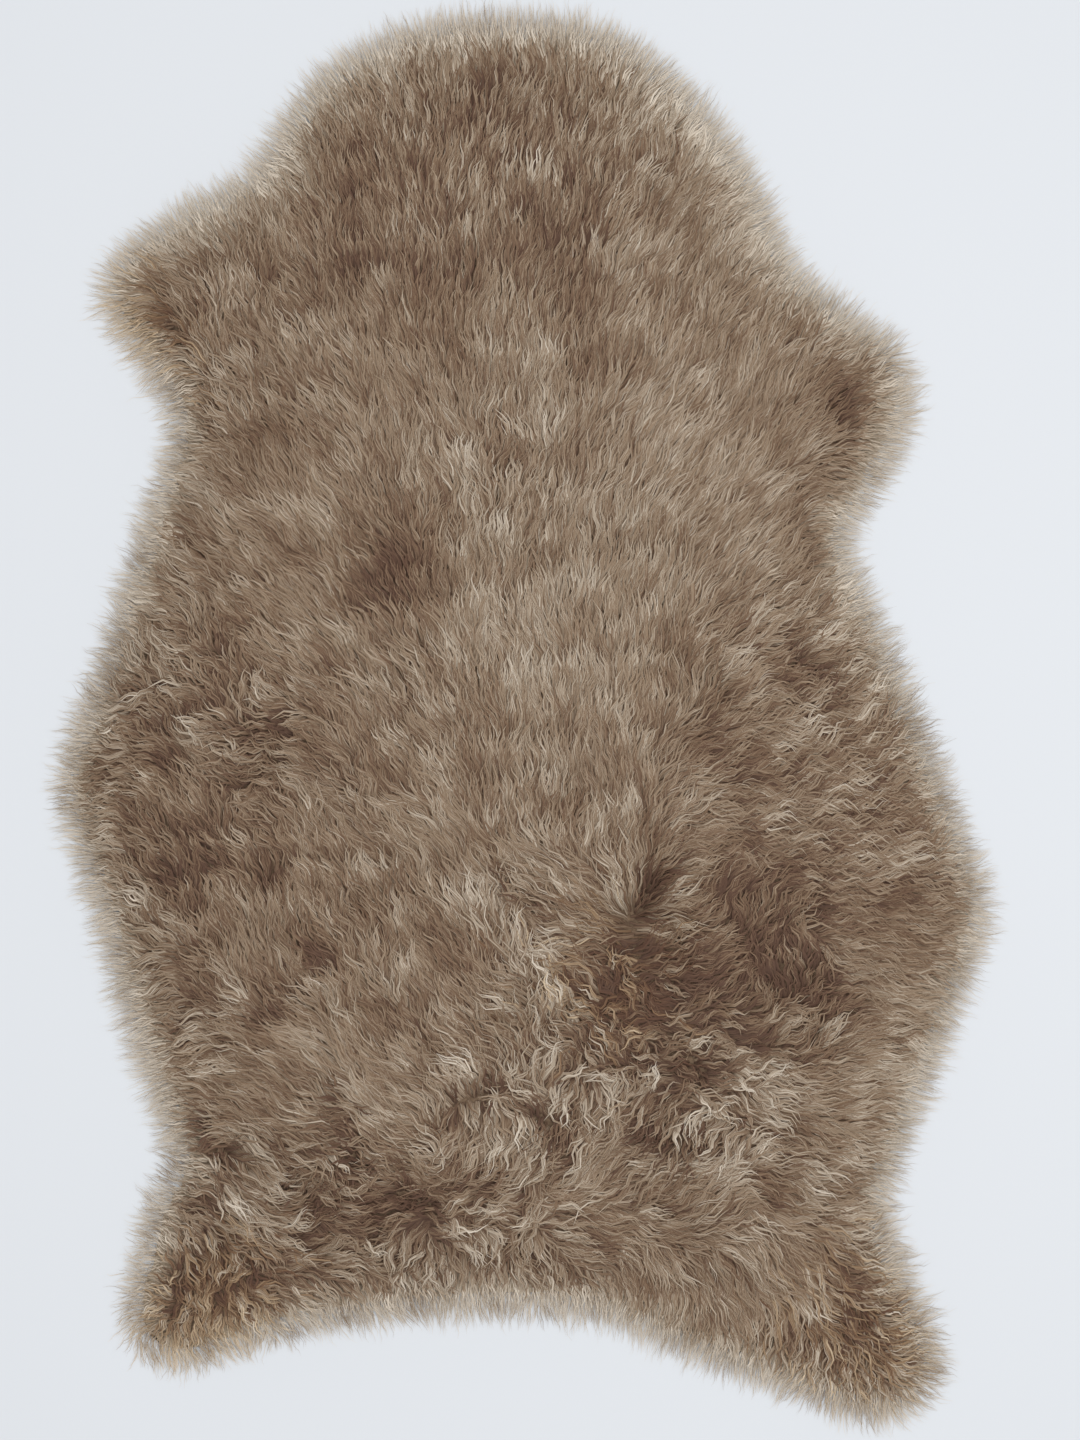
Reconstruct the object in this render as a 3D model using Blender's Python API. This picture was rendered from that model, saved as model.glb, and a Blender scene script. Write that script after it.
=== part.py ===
"""A natural-shaped sheepskin lying flat: the tanned skin, and the long wool that grows on it.

Metres, +Z up, +Y towards the neck. The underside lies on Z = 0, and the origin is there, under the
middle of the bounding box. Run it with blender --background --python part.py, or from the text editor.
"""

import math
import random
from collections import namedtuple

import bmesh
import bpy
import numpy as np
from mathutils import Vector, geometry, noise

SKIN_THICKNESS = 0.0018
SKIN_TO_WOOL = 0.0003  # clearance between the two solids
WALL_OUT = 0.0015  # the wool's wall stands this far outside the skin's cut edge

WALL_HEIGHT = 0.017  # wool at the cut edge
CROWN_HEIGHT = 0.041  # wool over the back
SHOULDER_WIDTH = 0.085  # from the cut edge to where the wool has risen to the crown
PILE_GRID = 0.021  # spacing of the points that the lumps are raised in
EDGE_MARGIN = 0.013  # the grid keeps this far from the wall

# The lumps of the wool: how far apart they are, and how much each raises or lowers it.
Lumps = namedtuple("Lumps", "size rise")
LUMPS = (Lumps(0.062, 0.013), Lumps(0.027, 0.007))
NOISE_LEVEL = 7.3  # the height at which the lumps' noise is read

LOCK_COUNT = 250
LOCK_SEED = 11
REACH_SPREAD = 0.16  # share by which a lock is longer or shorter than its neighbours
LEAN_SPREAD = 0.20  # share of the locks' spacing by which a tip leans aside
BOW_SPREAD = 0.04  # share of a lock's length by which it curves aside
TOUCHDOWN = 0.45  # share of its length at which a lock's underside has come down to the surface

# Each station is a place on the skin's cut edge, clockwise from the neck, with the way that the wool
# heads there, in degrees from +X, and how far it reaches past the edge.
Station = namedtuple("Station", "place across along heading reach")
STATIONS = (
    Station("neck middle", 0.003, 0.464, 88, 0.033),
    Station("neck right", 0.052, 0.456, 62, 0.032),
    Station("neck right bend", 0.097, 0.421, 42, 0.031),
    Station("neck right side", 0.139, 0.366, 22, 0.027),
    Station("right neck notch", 0.172, 0.299, 28, 0.030),
    Station("right foreleg front", 0.222, 0.256, 60, 0.030),
    Station("right foreleg tip", 0.242, 0.238, 24, 0.031),
    Station("right foreleg back", 0.236, 0.192, -2, 0.032),
    Station("right armpit", 0.204, 0.122, 2, 0.029),
    Station("right chest", 0.222, 0.064, 8, 0.030),
    Station("right ribs", 0.250, 0.000, 12, 0.031),
    Station("right flank top", 0.275, -0.066, 10, 0.030),
    Station("right flank", 0.296, -0.138, 0, 0.033),
    Station("right flank low", 0.281, -0.202, -10, 0.031),
    Station("right thigh", 0.255, -0.270, -8, 0.029),
    Station("right hind notch", 0.231, -0.345, -5, 0.029),
    Station("right hind leg", 0.246, -0.405, -4, 0.030),
    Station("right hind toe", 0.261, -0.458, -12, 0.036),
    Station("right toe end", 0.243, -0.471, -68, 0.032),
    Station("right hind inner", 0.192, -0.453, -100, 0.031),
    Station("tail right", 0.125, -0.428, -112, 0.028),
    Station("tail right middle", 0.062, -0.401, -98, 0.028),
    Station("tail middle", -0.003, -0.392, -90, 0.028),
    Station("tail left middle", -0.072, -0.397, -93, 0.030),
    Station("tail left", -0.140, -0.408, -96, 0.030),
    Station("left hind inner", -0.196, -0.421, -100, 0.033),
    Station("left toe end", -0.240, -0.430, -108, 0.032),
    Station("left hind toe", -0.253, -0.416, 195, 0.030),
    Station("left hind leg", -0.241, -0.368, 178, 0.029),
    Station("left hind notch", -0.222, -0.314, 172, 0.031),
    Station("left thigh", -0.246, -0.238, 180, 0.030),
    Station("left flank low", -0.272, -0.152, 180, 0.029),
    Station("left flank", -0.297, -0.052, 178, 0.033),
    Station("left ribs", -0.272, 0.033, 180, 0.031),
    Station("left chest", -0.247, 0.112, 178, 0.030),
    Station("left armpit", -0.223, 0.200, 180, 0.029),
    Station("left foreleg back", -0.245, 0.258, 195, 0.030),
    Station("left foreleg tip", -0.266, 0.300, 165, 0.030),
    Station("left foreleg front", -0.236, 0.328, 118, 0.029),
    Station("left neck notch", -0.178, 0.360, 140, 0.026),
    Station("left neck side", -0.146, 0.405, 150, 0.031),
    Station("left neck bend", -0.118, 0.436, 126, 0.030),
    Station("neck left", -0.062, 0.461, 98, 0.030),
)
CURVE_STEPS = 24  # curve points from one station to the next

# A lock's cross-sections: share of its length, width as a share of the root's, and height as a
# share of the wall's.
Section = namedtuple("Section", "out width height")
LOCK_SECTIONS = (
    Section(0.36, 0.72, 0.84),
    Section(0.72, 0.54, 0.50),
    Section(1.00, 0.17, 0.12),
)

# Where the wool lies lower than around it.
Hollow = namedtuple("Hollow", "place across along radius depth")
HOLLOWS = (
    Hollow("whorl on the rump", 0.076, -0.145, 0.035, 0.008),
    Hollow("below the whorl", 0.060, -0.176, 0.045, 0.006),
    Hollow("parting by the right ribs", 0.193, 0.032, 0.028, 0.007),
    Hollow("dip beside the left ribs", -0.090, 0.122, 0.050, 0.006),
    Hollow("parting on the left flank", -0.240, -0.200, 0.030, 0.007),
    Hollow("dip on the loin", -0.010, -0.125, 0.030, 0.005),
    Hollow("dip above the left hind leg", -0.215, -0.345, 0.040, 0.007),
    Hollow("dip in the right foreleg", 0.225, 0.210, 0.035, 0.005),
)

Finish = namedtuple("Finish", "name colour roughness")
SUEDE = Finish("Suede side of tanned sheepskin", (0.46, 0.36, 0.26, 1.0), 0.85)
WOOL = Finish("Greyish brown sheep wool", (0.24, 0.19, 0.145, 1.0), 0.9)


def clear_scene():
    for thing in list(bpy.data.objects):
        bpy.data.objects.remove(thing)


def new_collection(name):
    collection = bpy.data.collections.new(name)
    bpy.context.scene.collection.children.link(collection)
    return collection


def new_object(name, data, finish, collection):
    made = bpy.data.materials.new(finish.name)
    made.use_nodes = True
    shader = made.node_tree.nodes["Principled BSDF"]
    shader.inputs["Base Color"].default_value = finish.colour
    shader.inputs["Roughness"].default_value = finish.roughness
    shader.inputs["Metallic"].default_value = 0.0
    data.materials.append(made)
    thing = bpy.data.objects.new(name, data)
    collection.objects.link(thing)
    return thing


def station_row(station):
    """The edge point and the wool tip of a station, as one row of four numbers."""
    heading = math.radians(station.heading)
    tip_across = station.across + station.reach * math.cos(heading)
    tip_along = station.along + station.reach * math.sin(heading)
    return station.across, station.along, tip_across, tip_along


def closed_curve(rows, steps):
    """A smooth closed curve through the rows (Catmull-Rom), with steps points in each span."""
    here = np.array(rows)
    before = np.roll(here, 1, axis=0)
    after = np.roll(here, -1, axis=0)
    beyond = np.roll(here, -2, axis=0)
    t = np.linspace(0.0, 1.0, steps, endpoint=False)[:, None, None]
    slope = after - before
    bend = 2 * before - 5 * here + 4 * after - beyond
    twist = 3 * here - before - 3 * after + beyond
    curve = here + 0.5 * t * (slope + t * (bend + t * twist))
    return curve.transpose(1, 0, 2).reshape(-1, here.shape[1])


def evenly_spaced(curve, count):
    """Points at equal steps round the closed curve, by the mean of its edge's and its tips' lengths."""
    closed = np.vstack([curve, curve[:1]])
    step = np.diff(closed, axis=0)
    length = 0.5 * (np.hypot(step[:, 0], step[:, 1]) + np.hypot(step[:, 2], step[:, 3]))
    travelled = np.concatenate([[0.0], np.cumsum(length)])
    wanted = np.linspace(0.0, travelled[-1], count, endpoint=False)
    columns = [np.interp(wanted, travelled, column) for column in closed.T]
    return np.stack(columns, axis=1)


def pelt_rings():
    """The skin's cut edge, and the wool tips beyond it."""
    curve = closed_curve([station_row(station) for station in STATIONS], CURVE_STEPS)
    rings = evenly_spaced(curve, LOCK_COUNT)
    return rings[:, :2], rings[:, 2:]


def inside(point, ring):
    """Whether the point is inside the ring, by the number of its sides that a ray to +X crosses."""
    starts = ring
    ends = np.roll(ring, -1, axis=0)
    spans = (starts[:, 1] > point[1]) != (ends[:, 1] > point[1])
    side = ends[spans] - starts[spans]
    crossing = starts[spans, 0] + side[:, 0] * (point[1] - starts[spans, 1]) / side[:, 1]
    return np.count_nonzero(crossing > point[0]) % 2 == 1


def edge_distance(point, ring):
    side = np.roll(ring, -1, axis=0) - ring
    share = ((point - ring) * side).sum(axis=1) / (side * side).sum(axis=1)
    nearest = ring + np.clip(share, 0.0, 1.0)[:, None] * side
    return np.linalg.norm(point - nearest, axis=1).min()


def grid_inside(ring):
    """Staggered grid points inside the ring, clear of it by EDGE_MARGIN."""
    low = ring.min(axis=0)
    high = ring.max(axis=0)
    row_step = PILE_GRID * math.sqrt(0.75)
    points = []
    for row in range(int((high[1] - low[1]) / row_step) + 1):
        for column in range(int((high[0] - low[0]) / PILE_GRID) + 1):
            across = low[0] + PILE_GRID * (column + 0.5 * (row % 2))
            point = np.array([across, low[1] + row * row_step])
            if inside(point, ring) and edge_distance(point, ring) > EDGE_MARGIN:
                points.append(Vector(point))
    return points


def wool_top(point, distance):
    """How high the wool stands at a point that is this distance inside the wall."""
    rise = math.sin(0.5 * math.pi * min(distance / SHOULDER_WIDTH, 1.0))
    height = WALL_HEIGHT + (CROWN_HEIGHT - WALL_HEIGHT) * rise
    uneven = min(distance / EDGE_MARGIN, 1.0)
    for lumps in LUMPS:
        place = Vector((point[0] / lumps.size, point[1] / lumps.size, NOISE_LEVEL))
        height += uneven * lumps.rise * noise.noise(place)
    for hollow in HOLLOWS:
        away = math.hypot(point[0] - hollow.across, point[1] - hollow.along)
        height -= uneven * hollow.depth * math.exp(-((away / hollow.radius) ** 2))
    return height


def make_skin(edge, collection):
    """The tanned skin, one flat sheet cut to the pelt's own outline."""
    outline = bpy.data.curves.new("skin", "CURVE")
    outline.dimensions = "2D"
    outline.fill_mode = "BOTH"
    outline.extrude = 0.5 * SKIN_THICKNESS
    spline = outline.splines.new("POLY")
    spline.points.add(len(edge) - 1)
    for corner, (across, along) in zip(spline.points, edge):
        corner.co = (across, along, 0.0, 1.0)
    spline.use_cyclic_u = True
    skin = new_object("skin", outline, SUEDE, collection)
    skin.location.z = 0.5 * SKIN_THICKNESS
    return skin


def fill_flat(bm, ring):
    """Flat triangles over the ring and a grid inside it. Returns the ring's corners in order."""
    points = [Vector(point) for point in ring] + grid_inside(ring)
    places, _, faces, *_ = geometry.delaunay_2d_cdt(points, [], [range(len(ring))], 1, 1e-6)
    corners = [bm.verts.new((place.x, place.y, 0.0)) for place in places]
    for face in faces:
        bm.faces.new([corners[index] for index in face])
    return corners[: len(ring)]


def raise_pile(bm, wall, underside):
    """Makes the flat fill a slab with a flat underside and a lumpy top."""
    base_faces = bm.faces[:]
    raised = bmesh.ops.extrude_face_region(bm, geom=base_faces)["geom"]
    for corner in bm.verts:
        corner.co.z = underside
    for corner in raised:
        if isinstance(corner, bmesh.types.BMVert):
            point = np.array(corner.co.xy)
            corner.co.z = wool_top(point, edge_distance(point, wall))
    bmesh.ops.dissolve_faces(bm, faces=base_faces)
    bmesh.ops.recalc_face_normals(bm, faces=bm.faces[:])


def wall_faces(bm, ring):
    """The upright face over each side of the ring, in the ring's order."""
    found = []
    for start, end in zip(ring, ring[1:] + ring[:1]):
        side = bm.edges.get((start, end))
        found.append(min(side.link_faces, key=lambda face: abs(face.normal.z)))
    return found


def along_lock(root, tip, bow, out):
    """The place at a share of a lock's length, and the direction there. The lock curves by bow."""
    run = tip - root
    aside = Vector((-run.y, run.x)) * bow
    place = root + out * run + math.sin(math.pi * out) * aside
    direction = run + math.pi * math.cos(math.pi * out) * aside
    return place, direction.normalized()


def grow_lock(bm, face, tip, bow, underside):
    """Draws a wall face out into a tapering lock that comes down to rest level on the surface."""
    root = face.calc_center_median().xy
    along_wall = Vector((-face.normal.y, face.normal.x))
    out_of_wall = face.normal.xy.normalized()
    half_side = max(abs((corner.co.xy - root).dot(along_wall)) for corner in face.verts)
    for section in LOCK_SECTIONS:
        face = bmesh.ops.extrude_discrete_faces(bm, faces=[face])["faces"][0]
        place, direction = along_lock(root, tip, bow, section.out)
        half_width = half_side * section.width * direction.dot(out_of_wall)
        left = Vector((-direction.y, direction.x)) * half_width
        floor = underside * max(0.0, 1.0 - section.out / TOUCHDOWN)
        middle = face.calc_center_median()
        for corner in face.verts:
            offset = corner.co - middle
            beside = place + math.copysign(1.0, offset.xy.dot(along_wall)) * left
            height = floor + (section.height * WALL_HEIGHT if offset.z > 0.0 else 0.0)
            corner.co = (beside.x, beside.y, height)


def make_fleece(edge, tips, collection):
    """The wool: a lumpy slab over the skin, with tapering locks all round its rim."""
    outward = tips - edge
    wall = edge + WALL_OUT * outward / np.linalg.norm(outward, axis=1, keepdims=True)
    underside = SKIN_THICKNESS + SKIN_TO_WOOL
    bm = bmesh.new()
    ring = fill_flat(bm, wall)
    raise_pile(bm, wall, underside)
    chance = random.Random(LOCK_SEED)
    between = 0.5 * (tips + np.roll(tips, -1, axis=0))
    step = np.roll(tips, -1, axis=0) - tips
    middles = 0.5 * (wall + np.roll(wall, -1, axis=0))
    for face, tip, aside, root in zip(wall_faces(bm, ring), between, step, middles):
        longer = 1.0 + chance.uniform(-REACH_SPREAD, REACH_SPREAD)
        lean = chance.uniform(-LEAN_SPREAD, LEAN_SPREAD)
        bow = chance.uniform(-BOW_SPREAD, BOW_SPREAD)
        place = root + longer * (tip - root) + lean * aside
        grow_lock(bm, face, Vector(place), bow, underside)
    mesh = bpy.data.meshes.new("fleece")
    bm.to_mesh(mesh)
    bm.free()
    mesh.shade_smooth()
    return new_object("fleece", mesh, WOOL, collection)


def centre(things, widest):
    """Moves the things aside so that the widest of them has its middle over the origin."""
    corners = np.array([corner.co.xy for corner in widest.data.vertices])
    middle = 0.5 * (corners.min(axis=0) + corners.max(axis=0))
    for thing in things:
        thing.location.x -= middle[0]
        thing.location.y -= middle[1]


def main():
    clear_scene()
    pelt = new_collection("sheepskin")
    edge, tips = pelt_rings()
    skin = make_skin(edge, pelt)
    fleece = make_fleece(edge, tips, pelt)
    centre((skin, fleece), fleece)


main()
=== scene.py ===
# A greyish brown sheepskin, wool side up, lying flat on a pale floor.
from functools import partial

import bmesh
import bpy
import numpy as np
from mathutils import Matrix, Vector, noise
from mathutils.bvhtree import BVHTree


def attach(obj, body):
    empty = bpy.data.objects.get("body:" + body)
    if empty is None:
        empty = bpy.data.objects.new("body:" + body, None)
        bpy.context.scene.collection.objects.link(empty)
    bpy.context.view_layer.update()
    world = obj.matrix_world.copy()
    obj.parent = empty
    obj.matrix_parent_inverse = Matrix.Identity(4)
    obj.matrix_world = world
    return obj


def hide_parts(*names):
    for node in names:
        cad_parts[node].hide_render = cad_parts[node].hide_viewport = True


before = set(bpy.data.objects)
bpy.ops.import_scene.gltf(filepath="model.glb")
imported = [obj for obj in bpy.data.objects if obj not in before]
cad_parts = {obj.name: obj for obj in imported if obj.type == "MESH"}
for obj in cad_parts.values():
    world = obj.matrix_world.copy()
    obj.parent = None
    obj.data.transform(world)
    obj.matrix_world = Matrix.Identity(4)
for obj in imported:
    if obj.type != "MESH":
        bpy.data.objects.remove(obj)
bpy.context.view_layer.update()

mm = 0.001
sameWithin = 0.01 * mm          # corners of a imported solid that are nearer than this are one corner
scene = bpy.context.scene


def fromHex(code):
    # an sRGB hex colour as the linear colour that a shader takes
    shares = [int(code[place:place + 2], 16) / 255 for place in (0, 2, 4)]
    return tuple(s / 12.92 if s <= 0.04045 else ((s + 0.055) / 1.055) ** 2.4 for s in shares) + (1.0,)


def addNode(tree, kind, settings={}, links={}):
    # one node: its settings and socket values by name, then what is linked into it
    node = tree.nodes.new(kind)
    for name, value in settings.items():
        if isinstance(name, str) and hasattr(node, name):
            setattr(node, name, value)
        else:
            node.inputs[name].default_value = value
    for name, source in links.items():
        tree.links.new(getattr(source, "outputs", [source])[0], node.inputs[name])
    return node


def setRamp(node, stops):
    # colour ramp stops, as (position, hex colour)
    ramp = node.color_ramp
    ramp.elements[0].position, ramp.elements[0].color = stops[0][0], fromHex(stops[0][1])
    ramp.elements[1].position, ramp.elements[1].color = stops[-1][0], fromHex(stops[-1][1])
    for position, code in stops[1:-1]:
        ramp.elements.new(position).color = fromHex(code)


def newMaterial(name):
    # a material without nodes, and addNode for its tree
    material = bpy.data.materials.new(name)
    material.use_nodes = True
    material.node_tree.nodes.clear()
    return material, partial(addNode, material.node_tree)


def addPiece(name, mesh):
    piece = bpy.data.objects.new(name, mesh)
    scene.collection.objects.link(piece)
    return piece


def smoothStep(low, high, values):
    share = np.clip((values - low) / (high - low), 0.0, 1.0)
    return share * share * (3.0 - 2.0 * share)


# The pelt: the surface that the wool grows on, and how the wool lies on it.
pelt = dict(
    guideStep=4 * mm,       # spacing of the guide surface that the wool grows on
    guideBeyond=42 * mm,    # how far the guide runs past the skin's cut edge
    edgeHeight=15 * mm,     # how high the wool lies just outside the cut edge
    tipHeight=1.5 * mm,     # and at the tips, where it rests on the floor
    tipDistance=29 * mm,    # from the cut edge to the tips
    sink=3 * mm,            # the guide lies this far under the CAD fleece, for the wool to rise over
    overAll=200 * mm,       # a height above all wool, from where the CAD fleece is looked for
    rootBehind=0.35,        # share of a strand that lies behind the place it is scattered on
    tipsAhead=14 * mm,      # how far ahead of that place its uncovered end shows
    fall=1.3,               # how the height falls beyond the cut edge: more than 1 falls faster at first
    heightRounds=2, outwardRounds=3,  # rounds of smoothing of the guide's height and of the way outwards
    lieReach=8 * mm,        # the wool follows the table of its lie down to about this size
    starPull=1.8, starFrom=(-0.35, 0.25), starShade=0.9, starCore=5 * mm,  # the star turns up and outwards, and its middle is painted dark, as shade
    partingPull=1.2, partingReach=8 * mm, partingShade=1.2,
    rimPull=0.75, rimPullFrom=(-30 * mm, 12 * mm),       # at the rim the wool turns outwards
    rimCurl=0.55, rimCurlFrom=(-12 * mm, 8 * mm),        # and curls less
    neckGlow=0.6, neckRim=(-35 * mm, 8 * mm), neckFrom=(200 * mm, 380 * mm),  # round the neck the rim is painted lighter, as light shining through the thin wool
    clouds=((30 * mm, 3.1, 0.55), (16 * mm, 8.4, 0.5)),  # soft random patches, darker and lighter: size, which, strength
    cloudAt=(0.85, 0.5),    # their share where there is no curl, and what each unit of curl adds
    vividAt=(0.4, 1.65), vividDark=0.35,  # contrast between neighbours likewise, and less where it is dark
    wavyAt=(0.6, 1.1),      # size of the waves likewise
    darkStands=0.35,        # dark wool stands up by this much
    thickFrom=(0 * mm, 15 * mm), edgeFrom=(-14 * mm, 17 * mm),           # where the thick wool thins out
    rimHairFrom=(2 * mm, 14 * mm), rimHairTo=(22 * mm, 32 * mm),         # and where the rim's fine hair roots
)

# Which way the wool heads, in degrees from +X, how flat it lies and how much it curls.
# Places are millimetres across and along the pelt.
liePlaces = [
    # across, along, heading, flat, curl
    (-3, 461, 98, 0.7, 0.0), (-138, 425, 120, 0.7, 0.0), (124, 432, 69, 0.8, 0.0), (-57, 414, 89, 0.7, 0.0),
    (-6, 397, 71, 0.7, 0.0), (-194, 376, 136, 0.7, 0.0), (-159, 346, 111, 0.7, 0.0),
    (-108, 346, 101, 0.7, 0.0), (152, 362, 55, 0.7, 0.0), (-265, 312, 149, 0.6, 0.0),
    (-194, 291, 100, 0.6, 0.2), (-74, 291, 93, 0.7, 0.0), (-57, 278, 81, 0.7, 0.0),
    (-23, 278, 80, 0.7, 0.0), (89, 291, 65, 0.7, 0.0), (230, 270, 27, 0.8, 0.1), (-261, 244, 142, 0.7, 0.3),
    (-159, 255, 121, 0.7, 0.1), (-88, 234, 111, 0.7, 0.0), (147, 227, 67, 0.7, 0.0),
    (181, 227, 58, 0.7, 0.0), (266, 241, 0, 0.8, 0.3), (-237, 199, 131, 0.7, 0.4), (124, 185, 58, 0.7, 0.0),
    (198, 193, 38, 0.6, 0.0), (230, 185, -4, 0.5, 0.1), (232, 193, 46, 0.6, 0.1), (266, 210, 53, 0.8, 0.0),
    (-193, 159, 140, 0.7, 0.0), (-173, 163, 115, 0.7, 0.0), (-17, 149, 85, 0.7, 0.2),
    (-258, 107, 121, 0.8, 0.1), (152, 107, 44, 0.7, 0.0), (68, 78, 71, 0.7, 0.0), (143, 69, 41, 0.7, 0.1),
    (-159, 50, 133, 0.7, 0.0), (11, 23, 100, 0.7, 0.1), (28, 57, 100, 0.7, 0.0), (45, 23, 101, 0.7, 0.0),
    (62, 57, 82, 0.7, 0.0), (113, 23, 72, 0.7, 0.1), (153, 27, 20, 0.7, 0.0), (198, 23, 4, 0.7, 0.3),
    (201, 40, 29, 0.8, 0.0), (257, 59, 26, 0.8, 0.0), (-265, 8, 151, 0.8, 0.6), (-227, 6, 108, 0.7, 0.4),
    (-125, -11, 133, 0.7, 0.1), (45, -11, 93, 0.7, 0.1), (79, 6, 78, 0.7, 0.0), (238, -7, 22, 0.8, 0.1),
    (-176, -28, 169, 0.7, 0.6), (62, -45, 96, 0.7, 0.0), (130, -45, 11, 0.7, 0.0), (162, -41, 7, 0.7, 0.1),
    (-293, -63, 176, 0.7, 0.4), (-244, -96, 115, 0.7, 0.3), (-244, -62, 128, 0.7, 0.1),
    (-142, -79, 111, 0.8, 0.1), (-124, -63, 129, 0.7, 0.3), (-40, -96, 124, 0.8, 0.0),
    (-12, -74, 81, 0.7, 0.1), (11, -79, 77, 0.8, 0.2), (79, -79, 93, 0.8, 0.1), (106, -64, 49, 0.8, 0.1),
    (124, -88, 14, 0.8, 0.1), (130, -79, -13, 0.8, 0.1), (164, -96, 0, 0.8, 0.1), (206, -82, 0, 0.8, 0.1),
    (257, -74, -4, 0.8, 0.0), (-295, -130, 133, 0.7, 0.2), (-279, -134, 159, 0.7, 0.6),
    (7, -107, 127, 0.9, 0.0), (11, -130, 147, 0.9, 0.4), (53, -137, 149, 0.9, 0.1),
    (71, -120, 90, 0.9, 0.2), (96, -125, 40, 0.9, 0.1), (113, -113, 15, 0.8, 0.1),
    (149, -120, 42, 0.8, 0.1), (-261, -147, 136, 0.7, 0.4), (-193, -164, 106, 0.7, 0.0),
    (-159, -147, 91, 0.7, 0.1), (-23, -147, 75, 0.9, 0.3), (16, -177, 114, 0.9, 0.4),
    (28, -164, 162, 0.9, 0.2), (102, -158, 17, 0.6, 0.2), (158, -148, 70, 0.6, 0.2),
    (238, -140, -11, 0.8, 0.0), (276, -169, -13, 0.8, 0.0), (283, -164, -19, 0.8, 0.0),
    (-261, -198, 158, 0.8, 0.3), (-227, -215, 153, 0.8, 0.5), (-141, -193, 143, 0.8, 0.3),
    (-125, -198, 91, 0.8, 0.1), (-91, -198, 99, 0.8, 0.2), (-57, -181, 118, 0.8, 0.0),
    (-41, -205, 125, 0.9, 0.0), (62, -198, 121, 0.7, 0.8), (96, -215, 148, 0.7, 0.4),
    (130, -186, 21, 0.7, 0.0), (130, -215, 2, 0.7, 0.5), (181, -181, 109, 0.6, 0.4),
    (198, -215, 52, 0.7, 0.5), (266, -198, -11, 0.8, 0.0), (300, -215, -30, 0.8, 0.1),
    (-150, -242, 145, 0.9, 0.0), (-105, -242, 121, 0.9, 0.0), (-51, -233, 112, 0.8, 0.2),
    (11, -232, 117, 0.8, 0.4), (45, -249, 123, 0.8, 0.6), (79, -249, 137, 0.7, 0.6),
    (102, -234, 17, 0.6, 0.8), (234, -252, 3, 0.8, 0.0), (-265, -261, -175, 0.8, 0.0),
    (-230, -286, 159, 0.8, 0.2), (-172, -271, 146, 0.8, 0.1), (-125, -282, 142, 0.9, 0.2),
    (-96, -287, 132, 0.9, 0.0), (-87, -271, 135, 0.9, 0.0), (-40, -299, -117, 0.9, 0.3),
    (-6, -266, 118, 0.8, 0.4), (39, -269, -116, 0.8, 0.4), (85, -284, -116, 0.8, 0.3),
    (130, -299, -101, 0.7, 0.6), (147, -266, -17, 0.7, 0.6), (215, -280, -5, 0.8, 0.0),
    (-159, -330, -5, 0.8, 0.4), (-132, -314, -42, 0.7, 0.7), (-74, -316, 135, 0.9, 0.2),
    (-40, -333, -175, 0.9, 0.4), (-24, -305, -126, 0.9, 0.3), (4, -318, -134, 0.8, 0.3),
    (58, -328, -157, 0.8, 0.0), (96, -316, -132, 0.8, 0.3), (120, -319, 25, 0.8, 0.2),
    (196, -337, -25, 0.8, 0.2), (-239, -346, 147, 0.5, 0.6), (-193, -367, -43, 0.7, 0.3),
    (-182, -347, 1, 0.9, 0.2), (-159, -367, -19, 0.8, 0.6), (-125, -350, 6, 0.8, 0.2),
    (-105, -363, -7, 0.5, 0.7), (-91, -367, -126, 0.7, 0.6), (-40, -367, -58, 0.8, 0.6),
    (-15, -346, -166, 0.8, 0.5), (45, -367, -8, 0.8, 0.1), (92, -347, -2, 0.8, 0.2),
    (-258, -404, -101, 0.4, 0.7), (-201, -394, -100, 0.4, 0.7), (-176, -401, -29, 0.6, 0.4),
    (-142, -418, -20, 0.7, 0.3), (-141, -390, -2, 0.6, 0.3), (-107, -413, -70, 0.8, 0.3),
    (-32, -396, -89, 0.6, 0.0), (-6, -384, -78, 0.7, 0.3), (82, -394, -81, 0.8, 0.0),
    (186, -384, -52, 0.9, 0.0), (266, -418, -11, 0.8, 0.3), (-201, -432, -86, 0.7, 0.7),
    (139, -432, -76, 0.8, 0.0), (198, -452, -78, 0.8, 0.3), (234, -451, -51, 0.8, 0.3),
    (271, -442, -43, 0.8, 0.4),
]
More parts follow.
